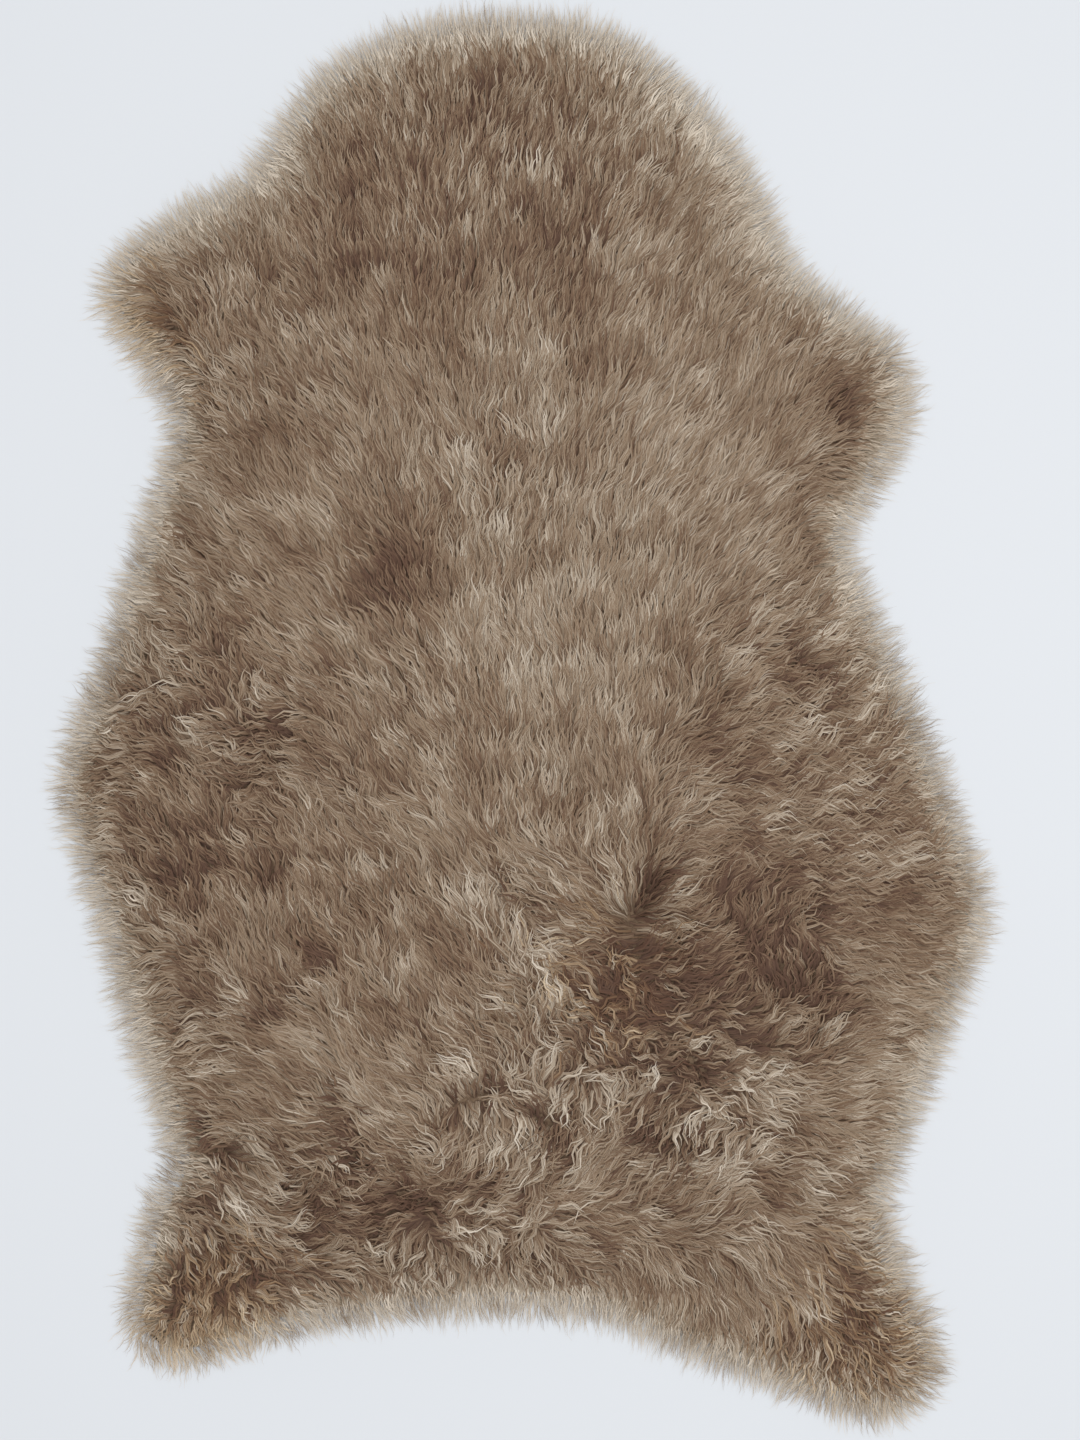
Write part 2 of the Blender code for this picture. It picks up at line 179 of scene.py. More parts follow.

# Patches where the wool is painted darker or lighter: partly its own tone, partly painted shade where it
# stands up and the eye sees into it, and painted light where it lies flat.
shadePlaces = [
    # across, along, radius, shade
    (-10, 400, 100, -0.15), (-240, -60, 80, -0.35), (10, 80, 90, 0.25), (120, 190, 80, 0.3),
    (150, -180, 42, -0.8), (250, -20, 80, -0.15), (138, -332, 45, 0.35), (-17, 439, 30, -0.35),
    (100, 400, 40, 0.25), (21, 330, 20, -0.9), (22, 396, 16, 0.5), (-131, 312, 28, -0.5),
    (-74, 305, 28, -0.5), (-265, 284, 28, -0.4), (-17, 262, 18, 0.3), (42, 295, 16, -0.6),
    (47, 243, 16, -0.8), (48, 195, 16, -0.35), (-187, 198, 18, -0.8), (218, 222, 32, -0.6),
    (-256, 262, 16, -0.5), (-109, 163, 16, 0.4), (-88, 107, 34, -1.2), (-31, 128, 22, 0.4),
    (-215, 64, 25, -0.5), (-10, 50, 28, 0.35), (-60, 15, 20, 0.3), (223, 57, 22, 0.4), (132, -14, 28, -0.6),
    (215, -82, 28, 0.3), (-60, -55, 26, 0.2), (167, -120, 35, -0.6), (80, -186, 28, -1.2),
    (62, -131, 17, 0.7), (209, -176, 27, -0.7), (266, -140, 20, -0.7), (212, -118, 20, -0.7),
    (-232, -105, 20, -0.8), (-180, -100, 22, -0.8), (-252, -185, 20, -0.6), (-164, -136, 12, 0.6),
    (-150, -160, 18, -1.1), (-60, -164, 16, -0.6), (5, -98, 20, 0.7), (8, -190, 24, 0.9),
    (38, -216, 12, -0.6), (-78, -208, 16, -0.7), (-180, -208, 18, -1.0), (-184, -8, 20, -0.7),
    (-122, 380, 24, -0.9), (-102, -210, 16, -0.5), (-150, -238, 18, 0.7), (-137, -188, 12, 0.7),
    (-40, -262, 20, 0.7), (-130, -286, 14, -0.8), (-150, -268, 12, -0.5), (-28, -300, 24, 0.8),
    (76, -297, 18, -0.5), (185, -306, 12, -0.4), (205, -422, 20, 0.6), (100, -388, 16, -0.4),
    (182, -270, 20, 0.7), (48, -268, 18, 0.5), (120, -310, 16, 0.4), (-46, -332, 21, -0.5),
    (-102, -357, 25, -0.6), (184, -345, 17, -0.5), (-191, -350, 18, 0.7), (-190, -400, 24, -0.4),
    (-235, -340, 22, -0.6),
]

# Broad patches where neighbouring locks differ in tone, and wave, by more or less than their curl gives.
vividPlaces = [
    # across, along, radius, more contrast, more wave
    (-20, 400, 130, 0.65, 0.0), (220, -60, 100, 0.6, 0.9), (30, -290, 110, 0.45, 0.4),
    (84, -180, 36, 0.6, 0.5), (235, -420, 60, 0.6, 0.4), (-245, -420, 50, -0.35, 0.3),
]

# Patches where some of the wisps are sunned, and a little warmer in colour.
ruddyPlaces = [
    # across, along, radius, share of the wisps
    (-285, 268, 38, 0.5), (62, -185, 40, 0.6), (-220, -425, 40, 0.9), (-262, -448, 40, 0.6),
    (240, -445, 50, 0.5),
]

# Stretches of the rim where the wool stays thick further out, and ends more sharply.
fullPlaces = [
    # across, along, radius, further out
    (-270, -339, 45, 4), (-251, -452, 50, 8), (-17, -424, 75, 6), (282, -462, 42, 8), (-282, 288, 35, 8),
    (276, 205, 48, 7), (-318, -56, 28, 6), (322, -148, 42, 5),
]

# Short creases, where the locks part to either side: along them the wool is painted dark, as the shade down
# at the roots, and those strands lie on top, so that the painted shade shows as a line.
creases = [
    # from across, from along, to across, to along, width
    (-7, -123, -4, -137, 5), (179, 46, 214, 10, 4), (-224, -290, -211, -314, 6), (-48, -274, -17, -267, 5),
    (7, -282, 25, -293, 5), (82, -293, 124, -304, 6), (77, -143, 99, -110, 4), (-127, -272, -122, -284, 5),
    (-120, -311, -113, -321, 5), (117, -247, 124, -258, 5), (227, -438, 245, -424, 5),
    (-173, -336, -138, -343, 5), (-85, -336, -67, -346, 7),
]

# A star of wool, springing from one point, with painted shade at its middle.
stars = [
    # across, along, radius
    (75, -147, 26),
]


def cutEdge(node):
    # the skin's cut edge as one closed row of points, walked round its upper face
    bm = bmesh.new()
    bm.from_mesh(node.data)
    bmesh.ops.remove_doubles(bm, verts=bm.verts, dist=sameWithin)
    rim = [e for e in bm.edges if len({f.normal.z > 0.5 for f in e.link_faces}) == 2]
    beside = {}
    for edge in rim:
        a, b = edge.verts
        beside.setdefault(a, []).append(b)
        beside.setdefault(b, []).append(a)
    here = rim[0].verts[0]
    walked = [here]
    seen = {here}
    while True:
        ahead = [v for v in beside[here] if v not in seen]
        if not ahead:
            break
        here = ahead[0]
        seen.add(here)
        walked.append(here)
    ring = np.array([v.co.xy for v in walked])
    bm.free()
    return ring


def outsideBy(points, ring):
    # metres that each point lies outside the ring, negative inside it
    atOnce = 4000               # more points than this are taken in turns, to spare memory
    if len(points) > atOnce:
        turns = np.array_split(points, len(points) // atOnce + 1)
        return np.concatenate([outsideBy(turn, ring) for turn in turns])
    start, side = ring, np.roll(ring, -1, axis=0) - ring
    away = points[:, None, :] - start
    share = np.clip((away * side).sum(-1) / (side * side).sum(-1), 0.0, 1.0)
    nearest = np.linalg.norm(away - share[..., None] * side, axis=-1).min(axis=1)
    end = start + side
    spans = (start[:, 1] > points[:, 1:2]) != (end[:, 1] > points[:, 1:2])
    with np.errstate(divide="ignore", invalid="ignore"):
        crossing = start[:, 0] + side[:, 0] * (points[:, 1:2] - start[:, 1]) / side[:, 1]
    within = (spans & (crossing > points[:, :1])).sum(axis=1) % 2 == 1
    return np.where(within, -nearest, nearest)


def woolHeight(places, outside):
    # the guide's height: a little under the CAD fleece, and falling to the floor beyond the cut edge
    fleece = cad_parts["fleece"]
    corners = [v.co for v in fleece.data.vertices]
    tree = BVHTree.FromPolygons(corners, [list(p.vertices) for p in fleece.data.polygons])
    down = Vector((0.0, 0.0, -1.0))
    heights = np.zeros(len(places))
    for index, (across, along) in enumerate(places):
        hit = tree.ray_cast(Vector((across, along, pelt["overAll"])), down)[0]
        heights[index] = hit.z if hit else 0.0
    share = np.clip(outside / pelt["tipDistance"], 0.0, 1.0)
    falling = pelt["tipHeight"] + (pelt["edgeHeight"] - pelt["tipHeight"]) * (1.0 - share) ** pelt["fall"]
    return np.where(outside > 0.0, falling, heights - pelt["sink"])


def smoothed(field, rounds):
    # each value moved halfway to the mean of its four neighbours on the grid
    for _ in range(rounds):
        padded = np.pad(field, 1, mode="edge")
        mean = (padded[:-2, 1:-1] + padded[2:, 1:-1] + padded[1:-1, :-2] + padded[1:-1, 2:]) / 4
        field = 0.5 * field + 0.5 * mean
    return field


def doubled(ways):
    # unit vectors at twice their angle, so that opposite headings count as one line
    return np.stack([ways[:, 0] ** 2 - ways[:, 1] ** 2, 2.0 * ways[:, 0] * ways[:, 1]], axis=1)


def unit(vectors):
    return vectors / np.maximum(np.linalg.norm(vectors, axis=1, keepdims=True), 1e-6)


def nearTo(points, across, along, radius):
    # 1 at the place, and falling off smoothly about the radius
    off = np.hypot(points[:, 0] - across * mm, points[:, 1] - along * mm)
    return np.exp(-((off / (radius * mm)) ** 2))


def gridQuads(shape):
    # the four corners of each cell of a grid of points
    corner = np.arange(shape[0] * shape[1]).reshape(shape)
    corners = [corner[:-1, :-1], corner[:-1, 1:], corner[1:, 1:], corner[1:, :-1]]
    return np.stack(corners, axis=-1).reshape(-1, 4)


def makeGuide():
    # the surface that the wool grows on, with the lie of the wool stored on its points
    ring = cutEdge(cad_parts["skin"])
    low = ring.min(axis=0) - pelt["guideBeyond"]
    high = ring.max(axis=0) + pelt["guideBeyond"]
    step = pelt["guideStep"]
    xs = np.arange(low[0], high[0] + step, step)
    ys = np.arange(low[1], high[1] + step, step)
    across, along = np.meshgrid(xs, ys)
    places = np.stack([across.ravel(), along.ravel()], axis=1)
    outside = outsideBy(places, ring)
    grid = across.shape
    height = smoothed(woolHeight(places, outside).reshape(grid), pelt["heightRounds"]).ravel()
    slopeAlong, slopeAcross = np.gradient(smoothed(outside.reshape(grid), pelt["outwardRounds"]), step)
    outward = unit(np.stack([slopeAcross.ravel(), slopeAlong.ravel()], axis=1))

    table = np.array(liePlaces, float)
    heading = np.radians(table[:, 2])
    away = np.linalg.norm(places[:, None] - table[:, :2] * mm, axis=-1)
    weight = 1.0 / (away ** 3 + pelt["lieReach"] ** 3)
    weight /= weight.sum(axis=1, keepdims=True)
    heads = np.stack([np.cos(heading), np.sin(heading)], axis=1)
    flow = weight @ heads               # which way the tips point; short where neighbours disagree
    lie = unit(weight @ doubled(heads))  # the line that they follow, at twice its angle
    shade = np.zeros(len(places))
    back = np.full(len(places), pelt["rootBehind"])
    for starAcross, starAlong, radius in stars:
        off = places - np.array([starAcross, starAlong]) * mm
        far = np.linalg.norm(off, axis=1, keepdims=True)
        upward = smoothStep(*pelt["starFrom"], off[:, 1:] / np.maximum(far, 0.1 * mm))
        strength = pelt["starPull"] * np.exp(-((far / (radius * mm)) ** 2)) * upward
        flow += strength * unit(off)
        lie += strength * doubled(unit(off))
        # painted shade at the star's middle
        shade -= pelt["starShade"] * np.exp(-((far[:, 0] / pelt["starCore"]) ** 2))
        back *= 1.0 - np.exp(-((far[:, 0] / (radius * mm)) ** 2))
    crease = np.zeros(len(places))
    for fromAcross, fromAlong, toAcross, toAlong, width in creases:
        start, end = np.array([fromAcross, fromAlong]) * mm, np.array([toAcross, toAlong]) * mm
        share = np.clip((places - start) @ (end - start) / ((end - start) @ (end - start)), 0.0, 1.0)[:, None]
        off = places - start - share * (end - start)
        far = np.linalg.norm(off, axis=1)
        crease = np.maximum(crease, np.exp(-((far / (width * mm)) ** 2)))
        near = np.exp(-((far / pelt["partingReach"]) ** 2))
        flow += pelt["partingPull"] * near[:, None] * unit(off)
        lie += pelt["partingPull"] * near[:, None] * doubled(unit(off))
        back *= 1.0 - near
    # painted shade along the creases
    shade -= pelt["partingShade"] * crease
    rim = pelt["rimPull"] * smoothStep(*pelt["rimPullFrom"], outside)[:, None]
    flow = flow * (1.0 - rim) + outward * rim
    lie = unit(lie) * (1.0 - rim) + doubled(outward) * rim

    seen = places + unit(flow) * pelt["tipsAhead"]
    for placeAcross, placeAlong, radius, depth in shadePlaces:
        shade += depth * nearTo(seen, placeAcross, placeAlong, radius)
    further = np.zeros(len(places))
    for placeAcross, placeAlong, radius, more in fullPlaces:
        further = np.maximum(further, more * mm * nearTo(places, placeAcross, placeAlong, radius))
    rimward = outside - further
    curl = (weight @ table[:, 4]) * (1.0 - pelt["rimCurl"] * smoothStep(*pelt["rimCurlFrom"], rimward))
    # painted light round the neck's rim, shining through the thin wool
    neckRim = pelt["neckGlow"] * smoothStep(*pelt["neckRim"], outside)
    shade += neckRim * smoothStep(*pelt["neckFrom"], places[:, 1])
    for size, level, strength in pelt["clouds"]:
        cloud = np.array([noise.noise(Vector((x / size, y / size, level))) for x, y in places])
        shade += strength * (pelt["cloudAt"][0] + pelt["cloudAt"][1] * curl) * cloud
    # how strongly neighbours differ in hue: more where it curls, less in the soft dark patches
    vivid = pelt["vividAt"][0] + pelt["vividAt"][1] * curl
    vivid *= 1.0 + pelt["vividDark"] * np.clip(shade, -1.0, 0.0)
    wavy = pelt["wavyAt"][0] + pelt["wavyAt"][1] * curl
    for placeAcross, placeAlong, radius, more, waves in vividPlaces:
        near = nearTo(places, placeAcross, placeAlong, radius)
        vivid += more * near
        wavy += waves * near
    ruddy = np.zeros(len(places))
    for placeAcross, placeAlong, radius, share in ruddyPlaces:
        ruddy = np.maximum(ruddy, share * nearTo(seen, placeAcross, placeAlong, radius))
    fields = {
        "ruddy": ruddy,
        "vivid": vivid,
        "wavy": wavy,
        "crease": crease,
        "flat": weight @ table[:, 3] - pelt["darkStands"] * np.clip(-shade, 0.0, 1.0),
        "curl": curl,
        "shade": shade,
        "back": back,
        "thick": 1.0 - smoothStep(*pelt["thickFrom"], rimward),
        "rim": smoothStep(*pelt["rimHairFrom"], rimward) * (1.0 - smoothStep(*pelt["rimHairTo"], rimward)),
        "edge": smoothStep(*pelt["edgeFrom"], rimward),
    }

    quads = gridQuads(grid)
    quads = quads[outside[quads].min(axis=1) < pelt["guideBeyond"]]
    mesh = bpy.data.meshes.new("woolGuide")
    mesh.from_pydata(np.column_stack([places, height]).tolist(), [], quads.tolist())
    for name, values in fields.items():
        mesh.attributes.new(name, "FLOAT", "POINT").data.foreach_set("value", values)
    for name, ways in (("flow", flow), ("lie", lie)):
        vectors = np.column_stack([ways, np.zeros(len(ways))])
        mesh.attributes.new(name, "FLOAT_VECTOR", "POINT").data.foreach_set("vector", vectors.ravel())
    middles = places[quads].mean(axis=1)
    parts = np.zeros(len(quads), int)
    for index, (name, south, north, west, east) in enumerate(woolParts):
        held = (middles[:, 1] > south * mm) & (middles[:, 1] <= north * mm)
        held &= (middles[:, 0] > west * mm) & (middles[:, 0] <= east * mm)
        parts[held] = index
    mesh.attributes.new("part", "INT", "FACE").data.foreach_set("value", parts)
    mesh.attributes.new("half", "INT", "FACE").data.foreach_set("value", (middles[:, 1] < 0.0).astype(int))
    mesh.attributes.new("whole", "INT", "FACE").data.foreach_set("value", np.zeros(len(quads), int))
    return addPiece("woolGuide", mesh), places, rimward, height, grid


# The wool is made in these parts, each between two lines along the pelt and two across it.
woolParts = [
    # name, south, north, west, east
    ("woolNeck", 235, 999, -999, 999),
    ("woolLeftRibs", 20, 235, -999, -15),
    ("woolRightRibs", 20, 235, -15, 999),
    ("woolLeftFlank", -215, 20, -999, -15),
    ("woolRightFlank", -215, 20, -15, 999),
    ("woolLeftHind", -999, -215, -999, -15),
    ("woolRightHind", -999, -215, -15, 999),
]

print("guide surface")
guide, places, rimward, height, grid = makeGuide()


# How the wool grows. In a pair, socket 1 holds the amount for each unit of what is linked, mostly curl, and
# socket 2 the amount where there is none. What follows chance is given for a whole cell, tuft or strand.
growth = dict(
    lockFrom=0.33,                              # the curl from which wool hangs in locks, not in wisps
    seedStride=7.13,                            # keeps the strands of two pieces from growing alike
    drift={"Scale": 34.0, "Detail": 2.0},       # a slow wander, in cycles to the metre
    cellLean=0.5, ownLean=0.3,                  # how easily a lock or a strand lies against the flow
    tuftTurn={1: 1.7, 2: 0.25}, cellTurn={1: 1.0, 2: 0.15},      # radians
    driftTurn={1: 3.6, 2: 1.1}, ownTurn=0.13,
    reachBy=(0.2, 0.5, 0.4),                    # how much tuft, cell and strand differ in reach
    flatReach={1: 0.85, 2: 0.25}, curlReach={1: -0.5, 2: 1.08}, creaseReach={1: -0.5, 2: 1.0},
    gapShade=0.6,                                # how much darker a cell is painted at its rim, as shade between the locks
    hueBy=(0.10, 0.15, 0.10),                   # how much tuft, cell and strand differ in hue
    # how far the hue moves with the shade field, with the painted light at the rim, and with the shingles'
    # painted shade and light
    shadeHue=0.36, rimGlowHue=0.42, shingleHue=0.36, hues={"Min": 0.02, "Max": 0.92},
    curlGather={1: 0.4, 2: 0.5},
    driftPhase=14.0, cellPhase=3.0, ownPhase=1.4, waves=9.6,     # radians, the last along a whole strand
    curlBend={1: 0.9, 2: 0.2}, ownBend=0.15,
    cellLift={1: 0.9, 2: 0.6}, ownLift=0.6, gapLift=-1.6, shingleLift=1.2,
    curlLift={1: 1.1, 2: 0.2}, creaseLift=3.0 * mm, lowest=1.0 * mm,
    girth={1: 0.5, 2: 1.0}, edgeGirth={1: -0.65, 2: 1.0}, tipPower=2.4, tipTaper={1: -0.92, 2: 1.0},
    cellRoll=0.3, ownRoll=0.35,
    laneRoom=0.9,                               # the share of a lane of the dye chart that strands use
    chartHalf=0.49,                             # the part of the dye chart's height from root to tip
    rayFrom=1.0, rayLength=2.0,                 # metres above the floor, where the guide is looked for
)


def growthTree():
    tree = bpy.data.node_groups.new("growWool", "GeometryNodeTree")
    add = partial(addNode, tree)
    for name, kind in (
        ("Guide", "Geometry"), ("Split", "String"), ("Part", "Int"), ("Where", "String"), ("Seed", "Int"),
        ("Density", "Float"), ("Points", "Int"), ("Reach", "Float"), ("Width", "Float"), ("Span", "Float"),
        ("Wisp", "Float"), ("Lock", "Float"), ("Tuft", "Float"), ("Depth", "Float"), ("Lift", "Float"),
        ("Gather", "Float"), ("Wave", "Float"), ("Spread", "Float"), ("Pale", "Float"), ("Edging", "Float"),
        ("Wool", "Material"),
    ):
        tree.interface.new_socket(name, in_out="INPUT", socket_type="NodeSocket" + kind)
    tree.interface.new_socket("Strands", in_out="OUTPUT", socket_type="NodeSocketGeometry")
    given = add("NodeGroupInput").outputs

    # roots, scattered over one part of the guide
    part = add("GeometryNodeInputNamedAttribute", {"data_type": "INT"}, {"Name": given["Split"]})
    chosen = add("FunctionNodeCompare", {"data_type": "INT", "operation": "EQUAL"},
                 {2: part, 3: given["Part"]})
    where = add("GeometryNodeInputNamedAttribute", {"data_type": "FLOAT"}, {"Name": given["Where"]})
    density = add("ShaderNodeMath", {"operation": "MULTIPLY"}, {0: where, 1: given["Density"]})
    roots = add("GeometryNodeDistributePointsOnFaces", {},
                {"Mesh": given["Guide"], "Selection": chosen, "Density": density, "Seed": given["Seed"]})
    place = add("GeometryNodeInputPosition")
    index = add("GeometryNodeInputIndex")
    flow, lie = (add("GeometryNodeInputNamedAttribute", {"data_type": "FLOAT_VECTOR", "Name": name})
                 for name in ("flow", "lie"))
    flat, curl, shade, vivid, wavy, crease, ruddy, edge, back = (
        add("GeometryNodeInputNamedAttribute", {"data_type": "FLOAT", "Name": name})
        for name in ("flat", "curl", "shade", "vivid", "wavy", "crease", "ruddy", "edge", "back"))

    # what follows the curl alone
    tuftTurn, cellTurn, driftTurn, curlReach, curlGather, curlBend, curlLift = (
        add("ShaderNodeMath", {"operation": "MULTIPLY_ADD", **growth[name]}, {0: curl})
        for name in ("tuftTurn", "cellTurn", "driftTurn", "curlReach", "curlGather", "curlBend", "curlLift"))

    # cells: small wisps where the wool is smooth, broader locks where it curls, and tufts over both
    scales = [add("ShaderNodeMath", {"operation": "DIVIDE", 0: 1.0}, {1: given[size]})
              for size in ("Wisp", "Lock", "Tuft")]
    wisp, lock, tuft = (
        add("ShaderNodeTexVoronoi", {"voronoi_dimensions": "2D"}, {"Vector": place, "Scale": scale})
        for scale in scales)
    curls = add("FunctionNodeCompare",
                {"data_type": "FLOAT", "operation": "GREATER_THAN", 1: growth["lockFrom"]}, {0: curl})
    cellChance, cellMiddle, cellOff = (
        add("GeometryNodeSwitch", {"input_type": kind},
            {"Switch": curls, "False": wisp.outputs[output], "True": lock.outputs[output]})
        for kind, output in (("VECTOR", "Color"), ("VECTOR", "Position"), ("FLOAT", "Distance")))

    # chance, for each cell, each tuft and each strand, and a slow drift: three numbers about zero each
    seeded = add("ShaderNodeMath", {"operation": "MULTIPLY_ADD", 1: growth["seedStride"]},
                 {0: given["Seed"], 2: index})
    own = add("ShaderNodeTexWhiteNoise", {"noise_dimensions": "1D"}, {"W": seeded})
    drift = add("ShaderNodeTexNoise", growth["drift"], {"Vector": place})
    chances = (cellChance, tuft.outputs["Color"], own.outputs["Color"], drift.outputs["Color"])
    halved = [add("ShaderNodeVectorMath", {"operation": "SUBTRACT", 1: (0.5, 0.5, 0.5)}, {0: chance})
              for chance in chances]
    byCell, byTuft, byOwn, byDrift = (add("ShaderNodeSeparateXYZ", {}, {0: half}).outputs for half in halved)

    # the line that the wool lies along, and which way each lock takes it
    lieParts = add("ShaderNodeSeparateXYZ", {}, {0: lie}).outputs
    twice = add("ShaderNodeMath", {"operation": "ARCTAN2"}, {0: lieParts["Y"], 1: lieParts["X"]})
    lieAngle = add("ShaderNodeMath", {"operation": "MULTIPLY", 1: 0.5}, {0: twice})
    lieWay = add("ShaderNodeVectorRotate", {"rotation_type": "Z_AXIS", "Vector": (1.0, 0.0, 0.0)},
                 {"Angle": lieAngle})
    agreed = add("ShaderNodeVectorMath", {"operation": "DOT_PRODUCT"}, {0: lieWay, 1: flow})
    cellLean = add("ShaderNodeMath", {"operation": "MULTIPLY_ADD", 1: growth["cellLean"]},
                   {0: byCell["Z"], 2: agreed.outputs["Value"]})
    leaning = add("ShaderNodeMath", {"operation": "MULTIPLY_ADD", 1: growth["ownLean"]},
                  {0: byOwn["Z"], 2: cellLean})
    sign = add("ShaderNodeMath", {"operation": "SIGN"}, {0: leaning})
    along = add("ShaderNodeVectorMath", {"operation": "SCALE"}, {0: lieWay, "Scale": sign})

    # heading: that way, turned by tuft and cell and strand, and more where it curls
    turnSizes = add("ShaderNodeCombineXYZ", {}, {0: tuftTurn, 1: cellTurn, 2: driftTurn})
    turns = add("ShaderNodeCombineXYZ", {}, {0: byTuft["X"], 1: byCell["X"], 2: byDrift["X"]})
    turn = add("ShaderNodeVectorMath", {"operation": "DOT_PRODUCT"}, {0: turns, 1: turnSizes})
    turnAll = add("ShaderNodeMath", {"operation": "MULTIPLY_ADD", 1: growth["ownTurn"]},
                  {0: byOwn["X"], 2: turn.outputs["Value"]})
    heading = add("ShaderNodeVectorRotate", {"rotation_type": "Z_AXIS"},
                  {"Vector": along, "Angle": turnAll})

    # shingle: each tuft is low where it springs, with painted shade there under the tuft before it, and high
    # towards its tips, with painted light there
    inTuft = add("ShaderNodeVectorMath", {"operation": "SUBTRACT"}, {0: place, 1: tuft.outputs["Position"]})
    tuftAlong = add("ShaderNodeVectorMath", {"operation": "DOT_PRODUCT"}, {0: inTuft, 1: heading})
    shingle = add("ShaderNodeMath", {"operation": "DIVIDE"},
                  {0: tuftAlong.outputs["Value"], 1: given["Tuft"]})

    # reach: shorter where the wool stands up
    lengths = add("ShaderNodeCombineXYZ", {}, {0: byTuft["Y"], 1: byCell["Y"], 2: byOwn["Y"]})
    longer = add("ShaderNodeVectorMath", {"operation": "DOT_PRODUCT", 1: growth["reachBy"]}, {0: lengths})
    longerBy = add("ShaderNodeMath", {"operation": "ADD", 1: 1.0}, {0: longer.outputs["Value"]})
    flatReach = add("ShaderNodeMath", {"operation": "MULTIPLY_ADD", **growth["flatReach"]}, {0: flat})
    edgeReach = add("ShaderNodeMath", {"operation": "MULTIPLY_ADD"},
                    {0: edge, 1: given["Edging"], 2: flatReach})
    usualReach = add("ShaderNodeMath", {"operation": "MULTIPLY"}, {0: edgeReach, 1: curlReach})
    reach = add("ShaderNodeMath", {"operation": "MULTIPLY"}, {0: longerBy, 1: usualReach})
    creaseReach = add("ShaderNodeMath", {"operation": "MULTIPLY_ADD", **growth["creaseReach"]}, {0: crease})
    reachHere = add("ShaderNodeMath", {"operation": "MULTIPLY"}, {0: reach, 1: creaseReach})
    reachMetres = add("ShaderNodeMath", {"operation": "MULTIPLY"}, {0: reachHere, 1: given["Reach"]})
    way = add("ShaderNodeVectorMath", {"operation": "SCALE"}, {0: heading, "Scale": reachMetres})

    # how near each root is to its cell's rim, where the wool is lower and painted darker, as shade between
    # the locks
    cellRim = add("ShaderNodeMath", {"operation": "MULTIPLY"}, {0: cellOff, 1: cellOff})
    rimBy = add("ShaderNodeMath", {"operation": "MULTIPLY", 1: growth["gapShade"]}, {0: vivid})
    gap = add("ShaderNodeMath", {"operation": "MULTIPLY"}, {0: cellRim, 1: rimBy})

    # hue: along the palette from dark and reddish to pale
    hues = add("ShaderNodeCombineXYZ", {}, {0: byTuft["Z"], 1: byCell["Z"], 2: byOwn["Z"]})
    hue = add("ShaderNodeVectorMath", {"operation": "DOT_PRODUCT", 1: growth["hueBy"]}, {0: hues})
    spread = add("ShaderNodeMath", {"operation": "MULTIPLY"}, {0: vivid, 1: given["Spread"]})
    hueBy = add("ShaderNodeMath", {"operation": "MULTIPLY"}, {0: hue.outputs["Value"], 1: spread})
    # the shade field in the hue: the wool's own tone, with its painted shade and painted light
    placeHue = add("ShaderNodeMath", {"operation": "MULTIPLY_ADD", 1: growth["shadeHue"]},
                   {0: shade, 2: given["Pale"]})
    # towards the rim the wool is painted lighter: painted light, shining through the thin wool
    rimGlowHue = add("ShaderNodeMath", {"operation": "MULTIPLY_ADD", 1: growth["rimGlowHue"]},
                  {0: edge, 2: placeHue})
    gapShadedHue = add("ShaderNodeMath", {"operation": "SUBTRACT"}, {0: rimGlowHue, 1: gap})
    # the shingle's painted shade at a tuft's base and painted light towards its tips
    shingleBy = add("ShaderNodeMath", {"operation": "MULTIPLY", 1: growth["shingleHue"]}, {0: vivid})
    shingleHue = add("ShaderNodeMath", {"operation": "MULTIPLY_ADD"}, {0: shingle, 1: shingleBy, 2: gapShadedHue})
    hueAll = add("ShaderNodeMath", {"operation": "ADD"}, {0: shingleHue, 1: hueBy})
    hueKept = add("ShaderNodeClamp", growth["hues"], {0: hueAll})

    # gathering: each strand is drawn to the middle of its cell
    toMiddle = add("ShaderNodeVectorMath", {"operation": "SUBTRACT"}, {0: cellMiddle, 1: place})
    gatherFlat = add("ShaderNodeVectorMath", {"operation": "MULTIPLY", 1: (1.0, 1.0, 0.0)}, {0: toMiddle})
    gatherBy = add("ShaderNodeMath", {"operation": "MULTIPLY"}, {0: curlGather, 1: given["Gather"]})
    gather = add("ShaderNodeVectorMath", {"operation": "SCALE"}, {0: gatherFlat, "Scale": gatherBy})

    # sway: the size of its wave, the phase, and a bend that the whole cell shares
    waveSize = add("ShaderNodeMath", {"operation": "MULTIPLY"}, {0: wavy, 1: given["Wave"]})
    driftPhase = add("ShaderNodeMath", {"operation": "MULTIPLY", 1: growth["driftPhase"]},
                     {0: byDrift["Y"]})
    cellPhase = add("ShaderNodeMath", {"operation": "MULTIPLY_ADD", 1: growth["cellPhase"]},
                    {0: byCell["X"], 2: driftPhase})
    phase = add("ShaderNodeMath", {"operation": "MULTIPLY_ADD", 1: growth["ownPhase"]},
                {0: byOwn["Z"], 2: cellPhase})
    cellBend = add("ShaderNodeMath", {"operation": "MULTIPLY"}, {0: byCell["Y"], 1: curlBend})
    bend = add("ShaderNodeMath", {"operation": "MULTIPLY_ADD", 1: growth["ownBend"]},
               {0: byOwn["Z"], 2: cellBend})
    sway = add("ShaderNodeCombineXYZ", {}, {0: waveSize, 1: phase, 2: bend})

